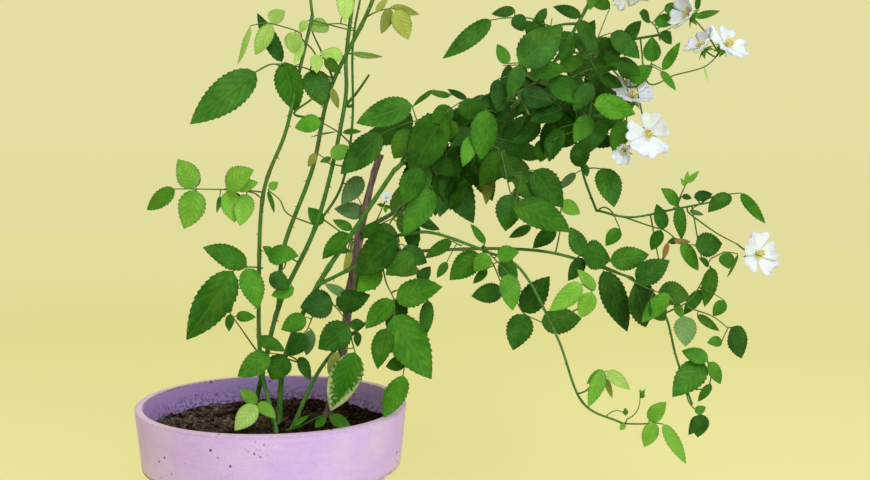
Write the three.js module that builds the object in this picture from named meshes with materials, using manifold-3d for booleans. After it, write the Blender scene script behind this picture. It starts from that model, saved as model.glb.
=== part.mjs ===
// Potted rose bush: a painted clay pot, its soil, green canes, and masses of pinnate leaves with blossom.
// Millimetres, +Z up. The origin is the centre of the pot's flat underside.

import * as THREE from 'three';
import { mergeVertices } from 'three/addons/utils/BufferGeometryUtils.js';
import Module from 'manifold-3d';

const wasm = await Module();
wasm.setup();

// Pot
const POT_HEIGHT = 195;
const RIM_RADIUS = 110;
const COLLAR_HEIGHT = 50;
const COLLAR_FOOT_RADIUS = 105;
const BODY_TOP_RADIUS = 95;
const FOOT_RADIUS = 66;
const WALL = 7;
const FLOOR = 10;
const LIP = 3;
const POT_SIDES = 36;
const COLLAR_FOOT = POT_HEIGHT - COLLAR_HEIGHT;

// Soil
const SOIL_LEVEL = 175;
const SOIL_FLAT_RADIUS = 62;
const SOIL_SWELL = 2.5;
const BROAD_SWELL = { waves: 3, share: 0.6 };
const FINE_SWELL = { waves: 5, share: 0.4 };

// Clearance kept between neighbouring solids
const GAP = 0.3;

// Wood
const LIMB_SIDES = 6;
const LIMB_STEP = 28;
const FEWEST_STEPS = 3;
const FOOT = SOIL_LEVEL + GAP;
const FOOT_FLARE = 1.35;
const TWIG_SIDES = 3;
const TWIG_STEP = 45;
const TWIG_RADIUS = 1.7;
const STALK_RADIUS = 0.8;
const TWIG_TAPER = 0.8;
const SPUR_LENGTH = 12;
const SEAT_START = 0.8;
const SEAT_STEP = 0.1;
const FURTHEST_SEAT = 3;
const LEAF_SPACING = 0.14;
const FIRST_RULED_LEAF = 0.28;

// Leaves
const LEAFLET_SIDES = 4;
const LEAFLET_WIDTH = 0.62;
const LEAFLET_THICKNESS = 0.028;
const LEAFLET_WIDEST = 0.4;
const LEAFLET_FOLD = 0.13;
const LEAFLET_SAG = 0.1;
const BLADE_START = 0.2;
const LAST_PAIR_SHARE = 0.84;
const BARE_STALK = 0.6;
const PAIR_SHRINK = 0.87;
const SIDE_LENGTH = [0.9, 1.08];
const SIDE_SWEEP = [0.25, 0.59];
const SIDE_DROOP = [0, 0.24];
const LEAF_TURN = 2.4;
const LEAF_FORWARD = 0.5;
const LEAF_SPREAD = 0.9;
const LEAF_WEIGHT = 0.3;
const LEAF_REACH = [0.85, 1.12];
const LEAF_SIZE = [0.8, 1.1];
const RULE_LEAF_SIZE = 42;
const RULE_PAIRS = 1;
const STALK_BOW = 0.08;
const STEM_BOW = 0.08;
const SHORTEST_STALK = 0.25;
const END_ROOT_DEPTH = 1.2;
const SIDE_ROOT_DEPTH = 0.3;
const PAIR_STAGGER = 0.8;
const LEAFLET_TRIES = [[0, 0, 1], [0.35, 0.1, 1], [-0.35, 0.1, 0.9], [0, 0.45, 0.8]];

// Blossom
const PETALS = 5;
const BLOOM_RADIUS = 18;
const BLOOM_NOTCH = 0.72;
const BLOOM_CUP = 0.28;
const BLOOM_THICKNESS = 1.6;
const BUD_RADIUS = 3;
const BLOOM_FACE = new THREE.Vector3(0.25, -0.8, 0.4).normalize();

// Leaves look up, and out from this upright plane, all the more the further they are from it
const CROWN_PLANE = 45;
const CROWN_DEPTH = 50;
const LOOK_UP = 0.45;
const LOOK_RIGHT = 0.1;

// The crown keeps inside these limits
const CROWN_LOW = [-104, -150, 172];
const CROWN_HIGH = [408, 190, 660];

const up = new THREE.Vector3(0, 0, 1);
const point = ([x, y, z]) => new THREE.Vector3(x, y, z);

function squared(normal, along) {
  return normal.clone().addScaledVector(along, -normal.dot(along)).normalize();
}

// A linear congruential generator, so that the same seed always grows the same mass
const SEED_FACTOR = 1664525;
const SEED_STEP = 1013904223;
const SEED_RANGE = 2 ** 32;

function seeded(seed) {
  let state = seed;
  return (low, high) => {
    state = (Math.imul(state, SEED_FACTOR) + SEED_STEP) >>> 0;
    return low + (high - low) * (state / SEED_RANGE);
  };
}

function solid(geometry) {
  const bare = geometry.clone();
  bare.deleteAttribute('normal');
  bare.deleteAttribute('uv');
  const merged = mergeVertices(bare);
  return new wasm.Manifold(new wasm.Mesh({
    numProp: 3,
    vertProperties: new Float32Array(merged.attributes.position.array),
    triVerts: new Uint32Array(merged.index.array),
  }));
}

function geometryOf(manifold) {
  const mesh = manifold.getMesh();
  const geometry = new THREE.BufferGeometry();
  geometry.setAttribute('position', new THREE.BufferAttribute(mesh.vertProperties, 3));
  geometry.setIndex(new THREE.BufferAttribute(mesh.triVerts, 1));
  geometry.computeVertexNormals();
  return geometry;
}

// Moves every vertex of a geometry to the place that a function of its old place gives
function reshape(geometry, place) {
  const positions = geometry.attributes.position;
  const vertex = new THREE.Vector3();
  for (let i = 0; i < positions.count; i += 1) {
    const moved = place(vertex.fromBufferAttribute(positions, i));
    positions.setXYZ(i, moved.x, moved.y, moved.z);
  }
  return geometry;
}

// A tapering limb along a curve: a cylinder whose rings follow the curve's frames.
// The first ring of one that stands in the soil is wider, and lies flat on it
function limbGeometry(curve, startRadius, endRadius, steps, standing) {
  const frames = curve.computeFrenetFrames(steps, false);
  return reshape(new THREE.CylinderGeometry(1, 1, 1, LIMB_SIDES, steps), (vertex) => {
    const ring = Math.round((0.5 - vertex.y) * steps);
    const foot = standing && ring === 0;
    const radius = THREE.MathUtils.lerp(startRadius, endRadius, ring / steps) * (foot ? FOOT_FLARE : 1);
    const place = curve.getPointAt(ring / steps)
      .addScaledVector(frames.normals[ring], vertex.x * radius)
      .addScaledVector(frames.binormals[ring], vertex.z * radius);
    return foot ? place.setZ(FOOT) : place;
  });
}

// A three-sided twig, one corner up, so that side leaflets leave it through a flat side
function twigGeometry(curve, startRadius, endRadius, steps) {
  return reshape(new THREE.CylinderGeometry(1, 1, 1, TWIG_SIDES, steps), (vertex) => {
    const share = 0.5 - vertex.y;
    const tangent = curve.getTangent(share);
    const across = squared(up, tangent);
    const side = new THREE.Vector3().crossVectors(across, tangent);
    const radius = THREE.MathUtils.lerp(startRadius, endRadius, share);
    return curve.getPoint(share)
      .addScaledVector(side, vertex.x * radius)
      .addScaledVector(across, vertex.z * radius);
  });
}

// A place on a twig's own straight segments, where a root stays inside it
function onTwig(curve, share) {
  const steps = twigSteps(curve);
  const ring = Math.min(Math.floor(share * steps), steps - 1);
  return curve.getPoint(ring / steps).lerp(curve.getPoint((ring + 1) / steps), share * steps - ring);
}

function twigSteps(curve) {
  return Math.max(1, Math.round(curve.getLength() / TWIG_STEP));
}

function bend(start, end, bow) {
  const middle = start.clone().lerp(end, 0.5).addScaledVector(up, bow * start.distanceTo(end));
  return new THREE.QuadraticBezierCurve3(start, middle, end);
}

// Pot and soil
function innerRadius(height) {
  if (height < COLLAR_FOOT) {
    return THREE.MathUtils.lerp(FOOT_RADIUS, BODY_TOP_RADIUS, height / COLLAR_FOOT) - WALL;
  }
  return THREE.MathUtils.lerp(BODY_TOP_RADIUS, RIM_RADIUS, (height - COLLAR_FOOT) / COLLAR_HEIGHT) - WALL;
}

function turned(profile) {
  const points = profile.map(([radius, height]) => new THREE.Vector2(radius, height));
  return new THREE.LatheGeometry(points, POT_SIDES).rotateX(Math.PI / 2);
}

function potGeometry() {
  return turned([
    [0, 0],
    [FOOT_RADIUS - LIP, 0],
    [FOOT_RADIUS, LIP],
    [BODY_TOP_RADIUS, COLLAR_FOOT],
    [COLLAR_FOOT_RADIUS - LIP, COLLAR_FOOT],
    [COLLAR_FOOT_RADIUS, COLLAR_FOOT + LIP],
    [RIM_RADIUS, POT_HEIGHT - LIP],
    [RIM_RADIUS - LIP, POT_HEIGHT],
    [innerRadius(POT_HEIGHT), POT_HEIGHT],
    [innerRadius(COLLAR_FOOT), COLLAR_FOOT],
    [innerRadius(FLOOR), FLOOR],
    [0, FLOOR],
  ]);
}

// The soil is flat where the stems stand. Its two outer rings swell, and keep clear of the narrowing wall
function soilGeometry() {
  const edge = innerRadius(SOIL_LEVEL) - GAP - SOIL_SWELL / 2;
  const geometry = turned([
    [0, FLOOR + GAP],
    [innerRadius(FLOOR) - GAP, FLOOR + GAP],
    [innerRadius(COLLAR_FOOT) - GAP, COLLAR_FOOT],
    [edge, SOIL_LEVEL],
    [(edge + SOIL_FLAT_RADIUS) / 2, SOIL_LEVEL],
    [SOIL_FLAT_RADIUS, SOIL_LEVEL],
    [0, SOIL_LEVEL],
  ]);
  return reshape(geometry, (vertex) => {
    const radius = Math.hypot(vertex.x, vertex.y);
    if (Math.round(vertex.z) === SOIL_LEVEL && Math.floor(radius) > SOIL_FLAT_RADIUS) {
      const angle = Math.atan2(vertex.y, vertex.x);
      const broad = BROAD_SWELL.share * Math.sin(BROAD_SWELL.waves * angle);
      const fine = FINE_SWELL.share * Math.cos(FINE_SWELL.waves * angle + radius);
      vertex.z += SOIL_SWELL * (broad + fine);
    }
    return vertex;
  });
}

// Limbs: each runs from the soil, from a place on an older limb or after its tip, through a few points
const LIMBS = [
  { name: 'cane_left', from: [6, -16], radii: [2.3, 1.7], by: [[-9, 7, 225], [-10, 8, 290],
    [-5, 5, 365], [14, 1, 415], [27, -5, 467], [37, -8, 506]] },
  { name: 'cane_middle', from: [-22, 49], radii: [2.6, 1.8], by: [[-8, 22, 222], [6, 18, 274],
    [38, 14, 343], [60, 12, 433], [62, 14, 476], [69, 18, 530]] },
  { name: 'cane_right', from: [5, 4], radii: [2.9, 2.2], by: [[11, 4, 232], [39, -4, 292],
    [70, -14, 339], [102, -20, 387]] },
  { name: 'cane_right_end', after: 'cane_right', radii: [2.2, 1.4], by: [[129, -20, 409],
    [192, -15, 442], [223, -10, 465], [263, 0, 534], [278, 5, 590]] },
  { name: 'cane_low', from: [15, -16], radii: [2.2, 1.4], by: [[43, -8, 228], [83, -20, 268],
    [102, -30, 280]] },
  { name: 'old_wood', from: [42, 32], radii: [4, 2.9], by: [[56, 26, 229], [63, 20, 284],
    [73, 16, 336], [83, 14, 378], [89, 14, 396]] },
  { name: 'cane_tall', on: 'cane_middle', at: 0.29, radii: [2.3, 1.9], by: [[9, 24, 319],
    [33, 26, 384], [49, 16, 449], [84, -5, 518], [108, -10, 596]] },
  { name: 'cane_thin', on: 'cane_middle', at: 0.48, radii: [1.4, 1.1], by: [[56, 34, 369],
    [65, 38, 420], [66, 36, 484], [74, 36, 530]] },
  { name: 'bough_heart', on: 'old_wood', at: 0.72, radii: [2.3, 1.3], by: [[113, 26, 358],
    [194, 50, 431], [270, 60, 480], [325, 36, 494]] },
  { name: 'bough_arch', on: 'cane_right', at: 0.53, radii: [1.8, 1.3], by: [[89, -10, 315],
    [144, -14, 322], [221, -20, 321], [290, -20, 300]] },
  { name: 'bough_arch_end', after: 'bough_arch', radii: [1.3, 1], by: [[314, -21, 274],
    [324, -28, 238], [337, -30, 200]] },
  { name: 'bough_front', on: 'old_wood', at: 0.7, radii: [1.8, 1.4], by: [[101, -20, 334],
    [130, -35, 338], [171, -50, 326]] },
  { name: 'shoot_hanging', after: 'bough_front', radii: [1.4, 1], by: [[199, -61, 312],
    [226, -72, 262], [245, -75, 213], [276, -75, 196]] },
  { name: 'bough_drop', on: 'bough_heart', at: 0.57, radii: [1.4, 1.2], by: [[244, 42, 415],
    [256, 30, 374], [265, 20, 349]] },
  { name: 'bough_drop_end', after: 'bough_drop', radii: [1.2, 0.9], by: [[292, 14, 345],
    [327, 10, 352], [360, -2, 360]] },
];

const limbs = new Map();

function largest(manifold) {
  return manifold.decompose().reduce((best, piece) => (piece.volume() > best.volume() ? piece : best));
}

// A limb on another is cut by the older one's sleeve. One after another is cut square to its tip
function growLimb({ name, from, on, at, after, radii, by }) {
  const points = by.map(point);
  const older = limbs.get(on ?? after)?.curve;
  const tip = older?.getPointAt(1);
  const tangent = older?.getTangentAt(1);
  if (from) points.unshift(new THREE.Vector3(...from, FOOT));
  if (on) points.unshift(older.getPointAt(at));
  if (after) points.unshift(tip.clone().addScaledVector(tangent, -radii[0]));
  const curve = new THREE.CatmullRomCurve3(points, false, 'catmullrom', 0.5);
  const steps = Math.max(FEWEST_STEPS, Math.round(curve.getLength() / LIMB_STEP));
  const shape = (extra) => solid(limbGeometry(curve, radii[0] + extra, radii[1] + extra, steps, from));
  let body = shape(0);
  if (on) body = largest(body.subtract(limbs.get(on).sleeve));
  if (after) body = body.trimByPlane(tangent.toArray(), tangent.dot(tip) + GAP);
  limbs.set(name, { curve, radii, steps, sleeve: shape(GAP) });
  return body;
}

// Leaf masses. A leaf is told by its tip, its end leaflet's length and its pairs of side leaflets
const leaf = (tip, size, pairs, { bow = STALK_BOW, from, sides = 0.88 } = {}) => (
  { tip, size, pairs, bow, from, sides });
const bloom = (centre, radius = BLOOM_RADIUS) => ({ centre, radius });

const MASSES = [
  { name: 'fan_leaf', limb: 'cane_left', at: 0.56, leaves: [leaf([-96, -15, 354], 28, 2)] },
  { name: 'drooping_leaf', limb: 'cane_left', at: 0.43, leaves: [
    leaf([-62, -25, 250], 62, 1, { sides: 0.62 }), leaf([-4, -24, 268], 30, 1)] },
  { name: 'small_leaf', limb: 'cane_left', at: 0.24, leaves: [leaf([-52, -4, 283], 18, 2)] },
  { name: 'sprout', limb: 'cane_left', at: 0.08, leaves: [
    leaf([-28, -34, 182], 24, 1, { bow: 0.3 }), leaf([-22, -26, 214], 22, 0)] },
  { name: 'inner_leaves', limb: 'cane_middle', at: 0.27, leaves: [
    leaf([-9, -12, 316], 26, 1), leaf([24, 20, 318], 27, 1)] },
  { name: 'fork_leaves', limb: 'cane_right', at: 0.34, leaves: [
    leaf([-22, -35, 222], 31, 2), leaf([27, -38, 236], 27, 1)] },
  { name: 'round_leaf', limb: 'cane_right', at: 0.6, leaves: [
    leaf([27, -28, 277], 30, 2), leaf([62, -34, 262], 30, 1)] },
  { name: 'pale_tipped_leaf', limb: 'cane_low', at: 0.92, leaves: [
    leaf([51, -45, 203], 44, 1), leaf([92, -62, 210], 38, 0)] },
  { name: 'heart_leaf', limb: 'bough_arch', at: 0.21, leaves: [
    leaf([128, -60, 228], 46, 3, { sides: 0.85 }), leaf([84, -40, 234], 30, 1)] },
  { name: 'centre_leaves', limb: 'bough_arch', at: 0.1, leaves: [
    leaf([101, -50, 312], 36, 1), leaf([72, -50, 316], 32, 1), leaf([137, -42, 300], 32, 1)] },
  { name: 'broad_leaf', limb: 'cane_tall', at: 0.51, leaves: [
    leaf([-57, -25, 424], 64, 2, { bow: 0.16, sides: 0.62 }), leaf([-22, 5, 472], 30, 3)] },
  { name: 'thin_leaves', limb: 'cane_thin', at: 0.32, leaves: [
    leaf([20, -15, 417], 28, 1), leaf([58, 22, 352], 36, 1)] },
  { name: 'olive_leaf', limb: 'cane_tall', at: 0.7, leaves: [leaf([109, -20, 487], 28, 2)] },
  { name: 'wing_leaves', limb: 'cane_right_end', at: 0.14, leaves: [
    leaf([70, -28, 422], 52, 1), leaf([60, -34, 382], 44, 0), leaf([142, -30, 408], 34, 1)] },
  { name: 'front_leaves', limb: 'bough_front', at: 0.45, leaves: [
    leaf([132, -62, 322], 32, 1), leaf([164, -60, 356], 34, 1)] },
  { name: 'heart_low', limb: 'bough_heart', at: 0.15, twig: [100, -26, 348], leaves: [
    leaf([70, -44, 350], 34, 1), leaf([108, -46, 334], 42, 1), leaf([150, -30, 350], 36, 1)] },
  { name: 'heart_left', limb: 'bough_heart', at: 0.28, twig: [142, -6, 398], leaves: [
    leaf([108, -48, 388], 50, 1), leaf([122, -42, 412], 36, 1), leaf([165, -38, 346], 36, 1),
    leaf([146, -30, 436], 30, 2)] },
  { name: 'heart_front', limb: 'bough_heart', at: 0.42, twig: [178, -24, 404], leaves: [
    leaf([170, -60, 396], 36, 1), leaf([154, -50, 390], 28, 1), leaf([196, -62, 408], 42, 1),
    leaf([172, -54, 356], 42, 1), leaf([200, -48, 340], 36, 0), leaf([214, -34, 384], 38, 0)] },
  { name: 'heart_middle', limb: 'cane_right_end', at: 0.4, twig: [205, -38, 430], leaves: [
    leaf([236, -48, 436], 40, 1), leaf([180, -58, 412], 40, 1), leaf([212, -60, 398], 36, 0),
    leaf([244, -34, 412], 34, 0), leaf([170, -36, 454], 34, 1)] },
  { name: 'heart_right', limb: 'bough_heart', at: 0.66, twig: [248, -6, 432], leaves: [
    leaf([242, -30, 388], 34, 1), leaf([272, -20, 398], 36, 1), leaf([231, -8, 366], 28, 0),
    leaf([286, -36, 436], 40, 0)], blooms: [bloom([294, -22, 447])] },
  { name: 'bright_leaves', limb: 'bough_front', at: 0.8, leaves: [
    leaf([236, -74, 345], 46, 1), leaf([197, -78, 287], 36, 1), leaf([206, -52, 330], 32, 1)] },
  { name: 'hanging_pair', limb: 'shoot_hanging', at: 0.42, leaves: [
    leaf([216, -96, 288], 33, 0), leaf([256, -96, 288], 32, 1)] },
  { name: 'hanging_tuft', limb: 'shoot_hanging', at: 0.8, leaves: [
    leaf([250, -92, 213], 30, 0, { bow: 0.35 }), leaf([281, -88, 226], 28, 0, { bow: 0.3 })] },
  { name: 'hanging_tip', limb: 'shoot_hanging', at: 1, leaves: [
    leaf([325, -85, 167], 38, 0), leaf([297, -86, 176], 26, 0), leaf([312, -78, 212], 26, 0)],
    blooms: [bloom([288, -80, 221], BUD_RADIUS)] },
  { name: 'arch_leaves', limb: 'bough_arch', at: 0.47, leaves: [
    leaf([144, -44, 298], 34, 0), leaf([188, -45, 249], 32, 1), leaf([202, -38, 274], 32, 0)] },
  { name: 'arch_end_leaves', limb: 'bough_arch', at: 0.86, leaves: [
    leaf([283, -56, 262], 48, 1), leaf([218, -46, 258], 38, 0), leaf([306, -46, 268], 40, 1),
    leaf([258, -44, 338], 32, 0), leaf([312, -38, 318], 36, 1)] },
  { name: 'fall_leaves', limb: 'bough_arch_end', at: 0.3, leaves: [
    leaf([378, -30, 240], 30, 1, { bow: 0.2 }), leaf([346, -44, 262], 34, 1),
    leaf([322, -50, 214], 40, 0, { bow: 0.15 })] },
  { name: 'fall_tip', limb: 'bough_arch_end', at: 1, leaves: [
    leaf([346, -34, 175], 24, 1), leaf([364, -30, 214], 22, 1)] },
  { name: 'drop_leaf', limb: 'bough_drop', at: 0.5, leaves: [
    leaf([281, 4, 357], 40, 0), leaf([226, 6, 352], 28, 1)] },
  { name: 'drop_leaves', limb: 'bough_drop_end', at: 0.55, leaves: [
    leaf([342, -16, 312], 32, 1), leaf([322, -4, 338], 26, 1), leaf([342, 6, 384], 22, 2)] },
  { name: 'drop_tip', limb: 'bough_drop_end', at: 1, leaves: [
    leaf([393, -20, 346], 34, 0, { bow: 0.3 }), leaf([354, -14, 326], 24, 0)],
    blooms: [bloom([386, -24, 322])] },
  { name: 'long_leaf', limb: 'cane_right_end', at: 0.66, twig: [220, -18, 496], leaves: [
    leaf([141, -32, 474], 48, 2, { sides: 0.6 }), leaf([195, -46, 468], 48, 1),
    leaf([226, -16, 515], 28, 0)] },
  { name: 'blossom_low', limb: 'bough_heart', at: 0.78, twig: [286, 0, 450], leaves: [
    leaf([300, 28, 430], 34, 1), leaf([262, 10, 428], 34, 1)],
    blooms: [bloom([300, -26, 413]), bloom([285, -12, 397], 13)] },
  { name: 'blossom', limb: 'bough_heart', at: 1, leaves: [
    leaf([322, 4, 466], 30, 1), leaf([352, 30, 500], 30, 1), leaf([300, -12, 470], 32, 1)],
    blooms: [bloom([332, -6, 508]), bloom([330, -16, 484], 15), bloom([360, -6, 483])] },
  { name: 'right_high', limb: 'cane_right_end', at: 0.8, twig: [262, -28, 520], leaves: [
    leaf([258, -42, 464], 42, 1), leaf([294, -20, 476], 38, 1), leaf([228, -42, 500], 36, 1)],
    blooms: [bloom([282, -30, 514])] },
  { name: 'right_top', limb: 'cane_right_end', at: 1, twig: [288, 10, 630], count: 4, reach: 68 },
  { name: 'left_top', limb: 'cane_left', at: 1, twig: [26, -14, 592], count: 4, reach: 68,
    leaves: [leaf([42, -34, 494], 24, 1, { from: 0.1 })] },
  { name: 'middle_top', limb: 'cane_middle', at: 1, twig: [58, 40, 612], count: 4, reach: 70,
    leaves: [leaf([62, -14, 500], 38, 0, { from: 0.1 })] },
  { name: 'tall_top', limb: 'cane_tall', at: 1, twig: [132, -20, 644], count: 4, reach: 60 },
  { name: 'heart_back', limb: 'bough_heart', at: 0.34, twig: [150, 112, 412], count: 6, reach: 80 },
  { name: 'heart_back_high', limb: 'bough_heart', at: 0.62, twig: [232, 130, 470], count: 6, reach: 80 },
  { name: 'left_back', limb: 'cane_left', at: 0.62, twig: [-34, 84, 420], count: 5, reach: 76 },
  { name: 'low_back', limb: 'old_wood', at: 0.5, twig: [60, 112, 322], count: 5, reach: 74 },
];

// The way a leaf's upper side looks
function faceAt(place) {
  const out = THREE.MathUtils.clamp((place.y - CROWN_PLANE) / CROWN_DEPTH, -1, 1);
  return new THREE.Vector3(LOOK_RIGHT, out, LOOK_UP).normalize();
}

// A leaflet: a four-sided lens, folded up along its midrib and sagging to its tip
function leafletGeometry({ root, along, normal, length }, extra = 0) {
  const side = new THREE.Vector3().crossVectors(along, normal);
  const thickness = length * LEAFLET_THICKNESS + 2 * extra;
  return reshape(new THREE.SphereGeometry(1, LEAFLET_SIDES, 2), (vertex) => {
    const share = Math.abs(vertex.x) > 0.5 ? (vertex.x + 1) / 2 : LEAFLET_WIDEST;
    const half = vertex.z * (0.5 * length * LEAFLET_WIDTH + extra);
    const lift = Math.abs(half) * 2 * LEAFLET_FOLD - length * LEAFLET_SAG * share ** 2;
    return root.clone()
      .addScaledVector(along, share * (length + extra))
      .addScaledVector(side, half)
      .addScaledVector(normal, lift + vertex.y * thickness / 2);
  });
}

// A bloom: a shallow cup of five lobes on the end of its stalk
function bloomGeometry({ centre, face, radius }, extra = 0) {
  const across = squared(up, face);
  const side = new THREE.Vector3().crossVectors(across, face);
  return reshape(new THREE.SphereGeometry(1, 2 * PETALS, 2), (vertex) => {
    const turn = Math.atan2(vertex.z, vertex.x);
    const rim = Math.hypot(vertex.x, vertex.z);
    const lobe = Math.cos(PETALS * turn) > 0 ? 1 : BLOOM_NOTCH;
    const reach = rim * (lobe * radius + extra);
    return centre.clone()
      .addScaledVector(across, Math.cos(turn) * reach)
      .addScaledVector(side, Math.sin(turn) * reach)
      .addScaledVector(face, reach * BLOOM_CUP + vertex.y * (BLOOM_THICKNESS / 2 + extra));
  });
}

// What is built so far, which a new leaf or stalk keeps clear of
const obstacles = [];

function addObstacle(name, body) {
  obstacles.push({ name, body, box: body.boundingBox() });
}

function apart(one, other) {
  return [0, 1, 2].some((axis) => one.max[axis] < other.min[axis] || one.min[axis] > other.max[axis]);
}

function touches(guard, others) {
  const box = guard.boundingBox();
  return others.some((other) => !apart(box, other.box) && !guard.intersect(other.body).isEmpty());
}

function insideCrown(manifold) {
  const { min, max } = manifold.boundingBox();
  return [0, 1, 2].every((axis) => min[axis] >= CROWN_LOW[axis] && max[axis] <= CROWN_HIGH[axis]);
}

// One mass: a stem on a limb, stalks, leaflets and blooms, fused into one solid
class Mass {
  constructor({ name, limb, at, twig, count, reach, leaves = [], blooms = [] }, seed) {
    this.name = name;
    this.limb = limb;
    this.random = seeded(seed);
    this.pieces = [];
    this.blades = [];
    this.stem = this.stemFrom(limbs.get(limb), at, point(twig ?? leaves[0].tip), twig !== undefined);
    this.addStalk(this.stem, TWIG_RADIUS);
    const ruled = count ? this.ruleLeaves(count, reach) : [];
    const told = leaves.map((spec, index) => ({ ...spec, from: spec.from ?? 1 - index * LEAF_SPACING }));
    [...told, ...ruled].forEach((spec) => this.addLeaf(spec));
    blooms.forEach((spec, index) => this.addBloom(spec, 1 - (leaves.length + index) * LEAF_SPACING));
    this.body = largest(this.pieces.reduce((joined, piece) => joined.add(piece)));
  }

  // The stem heads for its goal from the first place out from the limb's own straight segment, or on
  // from its tip, where it is clear
  stemFrom({ curve, radii, steps }, at, goal, whole) {
    const ring = Math.min(Math.floor(at * steps), steps - 1);
    const axis = curve.getPointAt(ring / steps).lerp(curve.getPointAt((ring + 1) / steps), at * steps - ring);
    const tangent = curve.getTangentAt(at);
    const way = goal.clone().sub(axis).normalize();
    const outward = at === 1 ? tangent : squared(way, tangent);
    const spur = way.clone().add(outward).normalize();
    const stem = (distance) => {
      const start = axis.clone().addScaledVector(outward, distance);
      const end = whole ? goal : start.clone().addScaledVector(spur, SPUR_LENGTH);
      return bend(start, end, whole ? STEM_BOW : 0);
    };
    const radius = at === 1 ? 0 : THREE.MathUtils.lerp(radii[0], radii[1], at);
    let distance = SEAT_START * radius;
    while (distance < radius + FURTHEST_SEAT && !this.clear(stem(distance), TWIG_RADIUS)) {
      distance += SEAT_STEP;
    }
    return stem(distance + GAP);
  }

  clear(curve, radius) {
    const guard = solid(twigGeometry(
      curve, radius + GAP / 2, radius * TWIG_TAPER + GAP / 2, twigSteps(curve)));
    return insideCrown(guard) && !touches(guard, obstacles);
  }

  // False where the stalk would leave the crown or touch anything
  addStalk(curve, radius) {
    if (!this.clear(curve, radius)) return false;
    this.pieces.push(solid(twigGeometry(curve, radius, radius * TWIG_TAPER, twigSteps(curve))));
    return true;
  }

  // Tries a leaflet as it lies, then swung, lifted or smaller, and leaves it out where it still touches
  addLeaflet(root, along, face, length) {
    const side = new THREE.Vector3().crossVectors(face, along).normalize();
    for (const [swing, lift, size] of LEAFLET_TRIES) {
      const way = along.clone().addScaledVector(side, swing).addScaledVector(face, lift).normalize();
      const leaflet = { root, along: way, normal: squared(face, way), length: length * size };
      const start = root.clone().addScaledVector(way, BLADE_START * leaflet.length);
      const rest = { ...leaflet, root: start, length: (1 - BLADE_START) * leaflet.length };
      const guard = solid(leafletGeometry(leaflet, GAP));
      const blade = solid(leafletGeometry(rest, GAP));
      if (insideCrown(guard) && !touches(guard, obstacles) && !touches(blade, this.blades)) {
        const body = solid(leafletGeometry(leaflet));
        this.pieces.push(body);
        this.blades.push({ body, box: body.boundingBox() });
        return;
      }
    }
  }

  // A pinnate leaf: a stalk with an end leaflet and pairs of side leaflets
  addLeaf({ tip, size, pairs, bow, from, sides }) {
    const root = onTwig(this.stem, from);
    const end = point(tip);
    const share = Math.max(SHORTEST_STALK, 1 - size / root.distanceTo(end));
    const whole = bend(root, end, bow);
    const neck = whole.getPoint(share);
    const stalk = new THREE.QuadraticBezierCurve3(root, root.clone().lerp(whole.v1, share), neck);
    if (!this.addStalk(stalk, STALK_RADIUS)) return;
    const looks = faceAt(neck);
    const along = end.clone().sub(neck).normalize();
    const sunk = neck.clone().addScaledVector(along, -END_ROOT_DEPTH);
    this.addLeaflet(sunk, along, squared(looks, along), sunk.distanceTo(end));
    for (let pair = 0; pair < pairs; pair += 1) {
      const pairShare = LAST_PAIR_SHARE * (1 - pair / (pairs + BARE_STALK));
      const place = onTwig(stalk, pairShare);
      const tangent = stalk.getTangent(pairShare);
      const normal = squared(looks, tangent);
      const side = new THREE.Vector3().crossVectors(normal, tangent);
      for (const hand of [-1, 1]) {
        const way = side.clone().multiplyScalar(hand)
          .addScaledVector(tangent, this.random(...SIDE_SWEEP))
          .addScaledVector(normal, -this.random(...SIDE_DROOP)).normalize();
        const length = size * sides * PAIR_SHRINK ** pair * this.random(...SIDE_LENGTH);
        const foot = place.clone().addScaledVector(tangent, hand * PAIR_STAGGER)
          .addScaledVector(way, -SIDE_ROOT_DEPTH);
        this.addLeaflet(foot, way, squared(normal, way), length);
      }
    }
  }

  // The leaves that the rule adds along a twig, each turned on from the last
  ruleLeaves(count, reach) {
    const start = this.random(0, 2 * Math.PI);
    return Array.from({ length: count }, (_, index) => {
      const from = THREE.MathUtils.lerp(FIRST_RULED_LEAF, 1, index / (count - 1));
      const root = this.stem.getPoint(from);
      const tangent = this.stem.getTangent(from);
      const across = squared(up, tangent);
      const side = new THREE.Vector3().crossVectors(tangent, across);
      const turn = start + LEAF_TURN * index;
      const way = tangent.clone().multiplyScalar(LEAF_FORWARD)
        .addScaledVector(across, LEAF_SPREAD * Math.cos(turn))
        .addScaledVector(side, LEAF_SPREAD * Math.sin(turn))
        .addScaledVector(up, -LEAF_WEIGHT).normalize();
      const tip = root.addScaledVector(way, reach * this.random(...LEAF_REACH)).toArray();
      return leaf(tip, RULE_LEAF_SIZE * this.random(...LEAF_SIZE), RULE_PAIRS, { from });
    });
  }

  addBloom({ centre, radius }, from) {
    const end = point(centre);
    if (!this.addStalk(bend(onTwig(this.stem, from), end, STALK_BOW), STALK_RADIUS)) return;
    const shape = (extra) => solid(bloomGeometry({ centre: end, face: BLOOM_FACE, radius }, extra));
    if (!touches(shape(GAP), obstacles)) this.pieces.push(shape(0));
  }
}

// The finished plant
const plant = new THREE.Group();

function addNode(name, geometry, color, roughness) {
  const material = new THREE.MeshStandardMaterial({ color, roughness, metalness: 0 });
  const mesh = new THREE.Mesh(geometry, material);
  mesh.name = name;
  plant.add(mesh);
}

const PAINTED_CLAY = 0xc8aad7;
const DAMP_SOIL = 0x2e2119;
const GREEN_BARK = 0x4f8a34;
const OLD_BARK = 0x6b5560;
const LEAF_GREEN = 0x2f7a24;

addObstacle('pot', solid(potGeometry()));
addObstacle('soil', solid(soilGeometry()));
addNode('pot', potGeometry(), PAINTED_CLAY, 0.75);
addNode('soil', soilGeometry(), DAMP_SOIL, 1);

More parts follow.
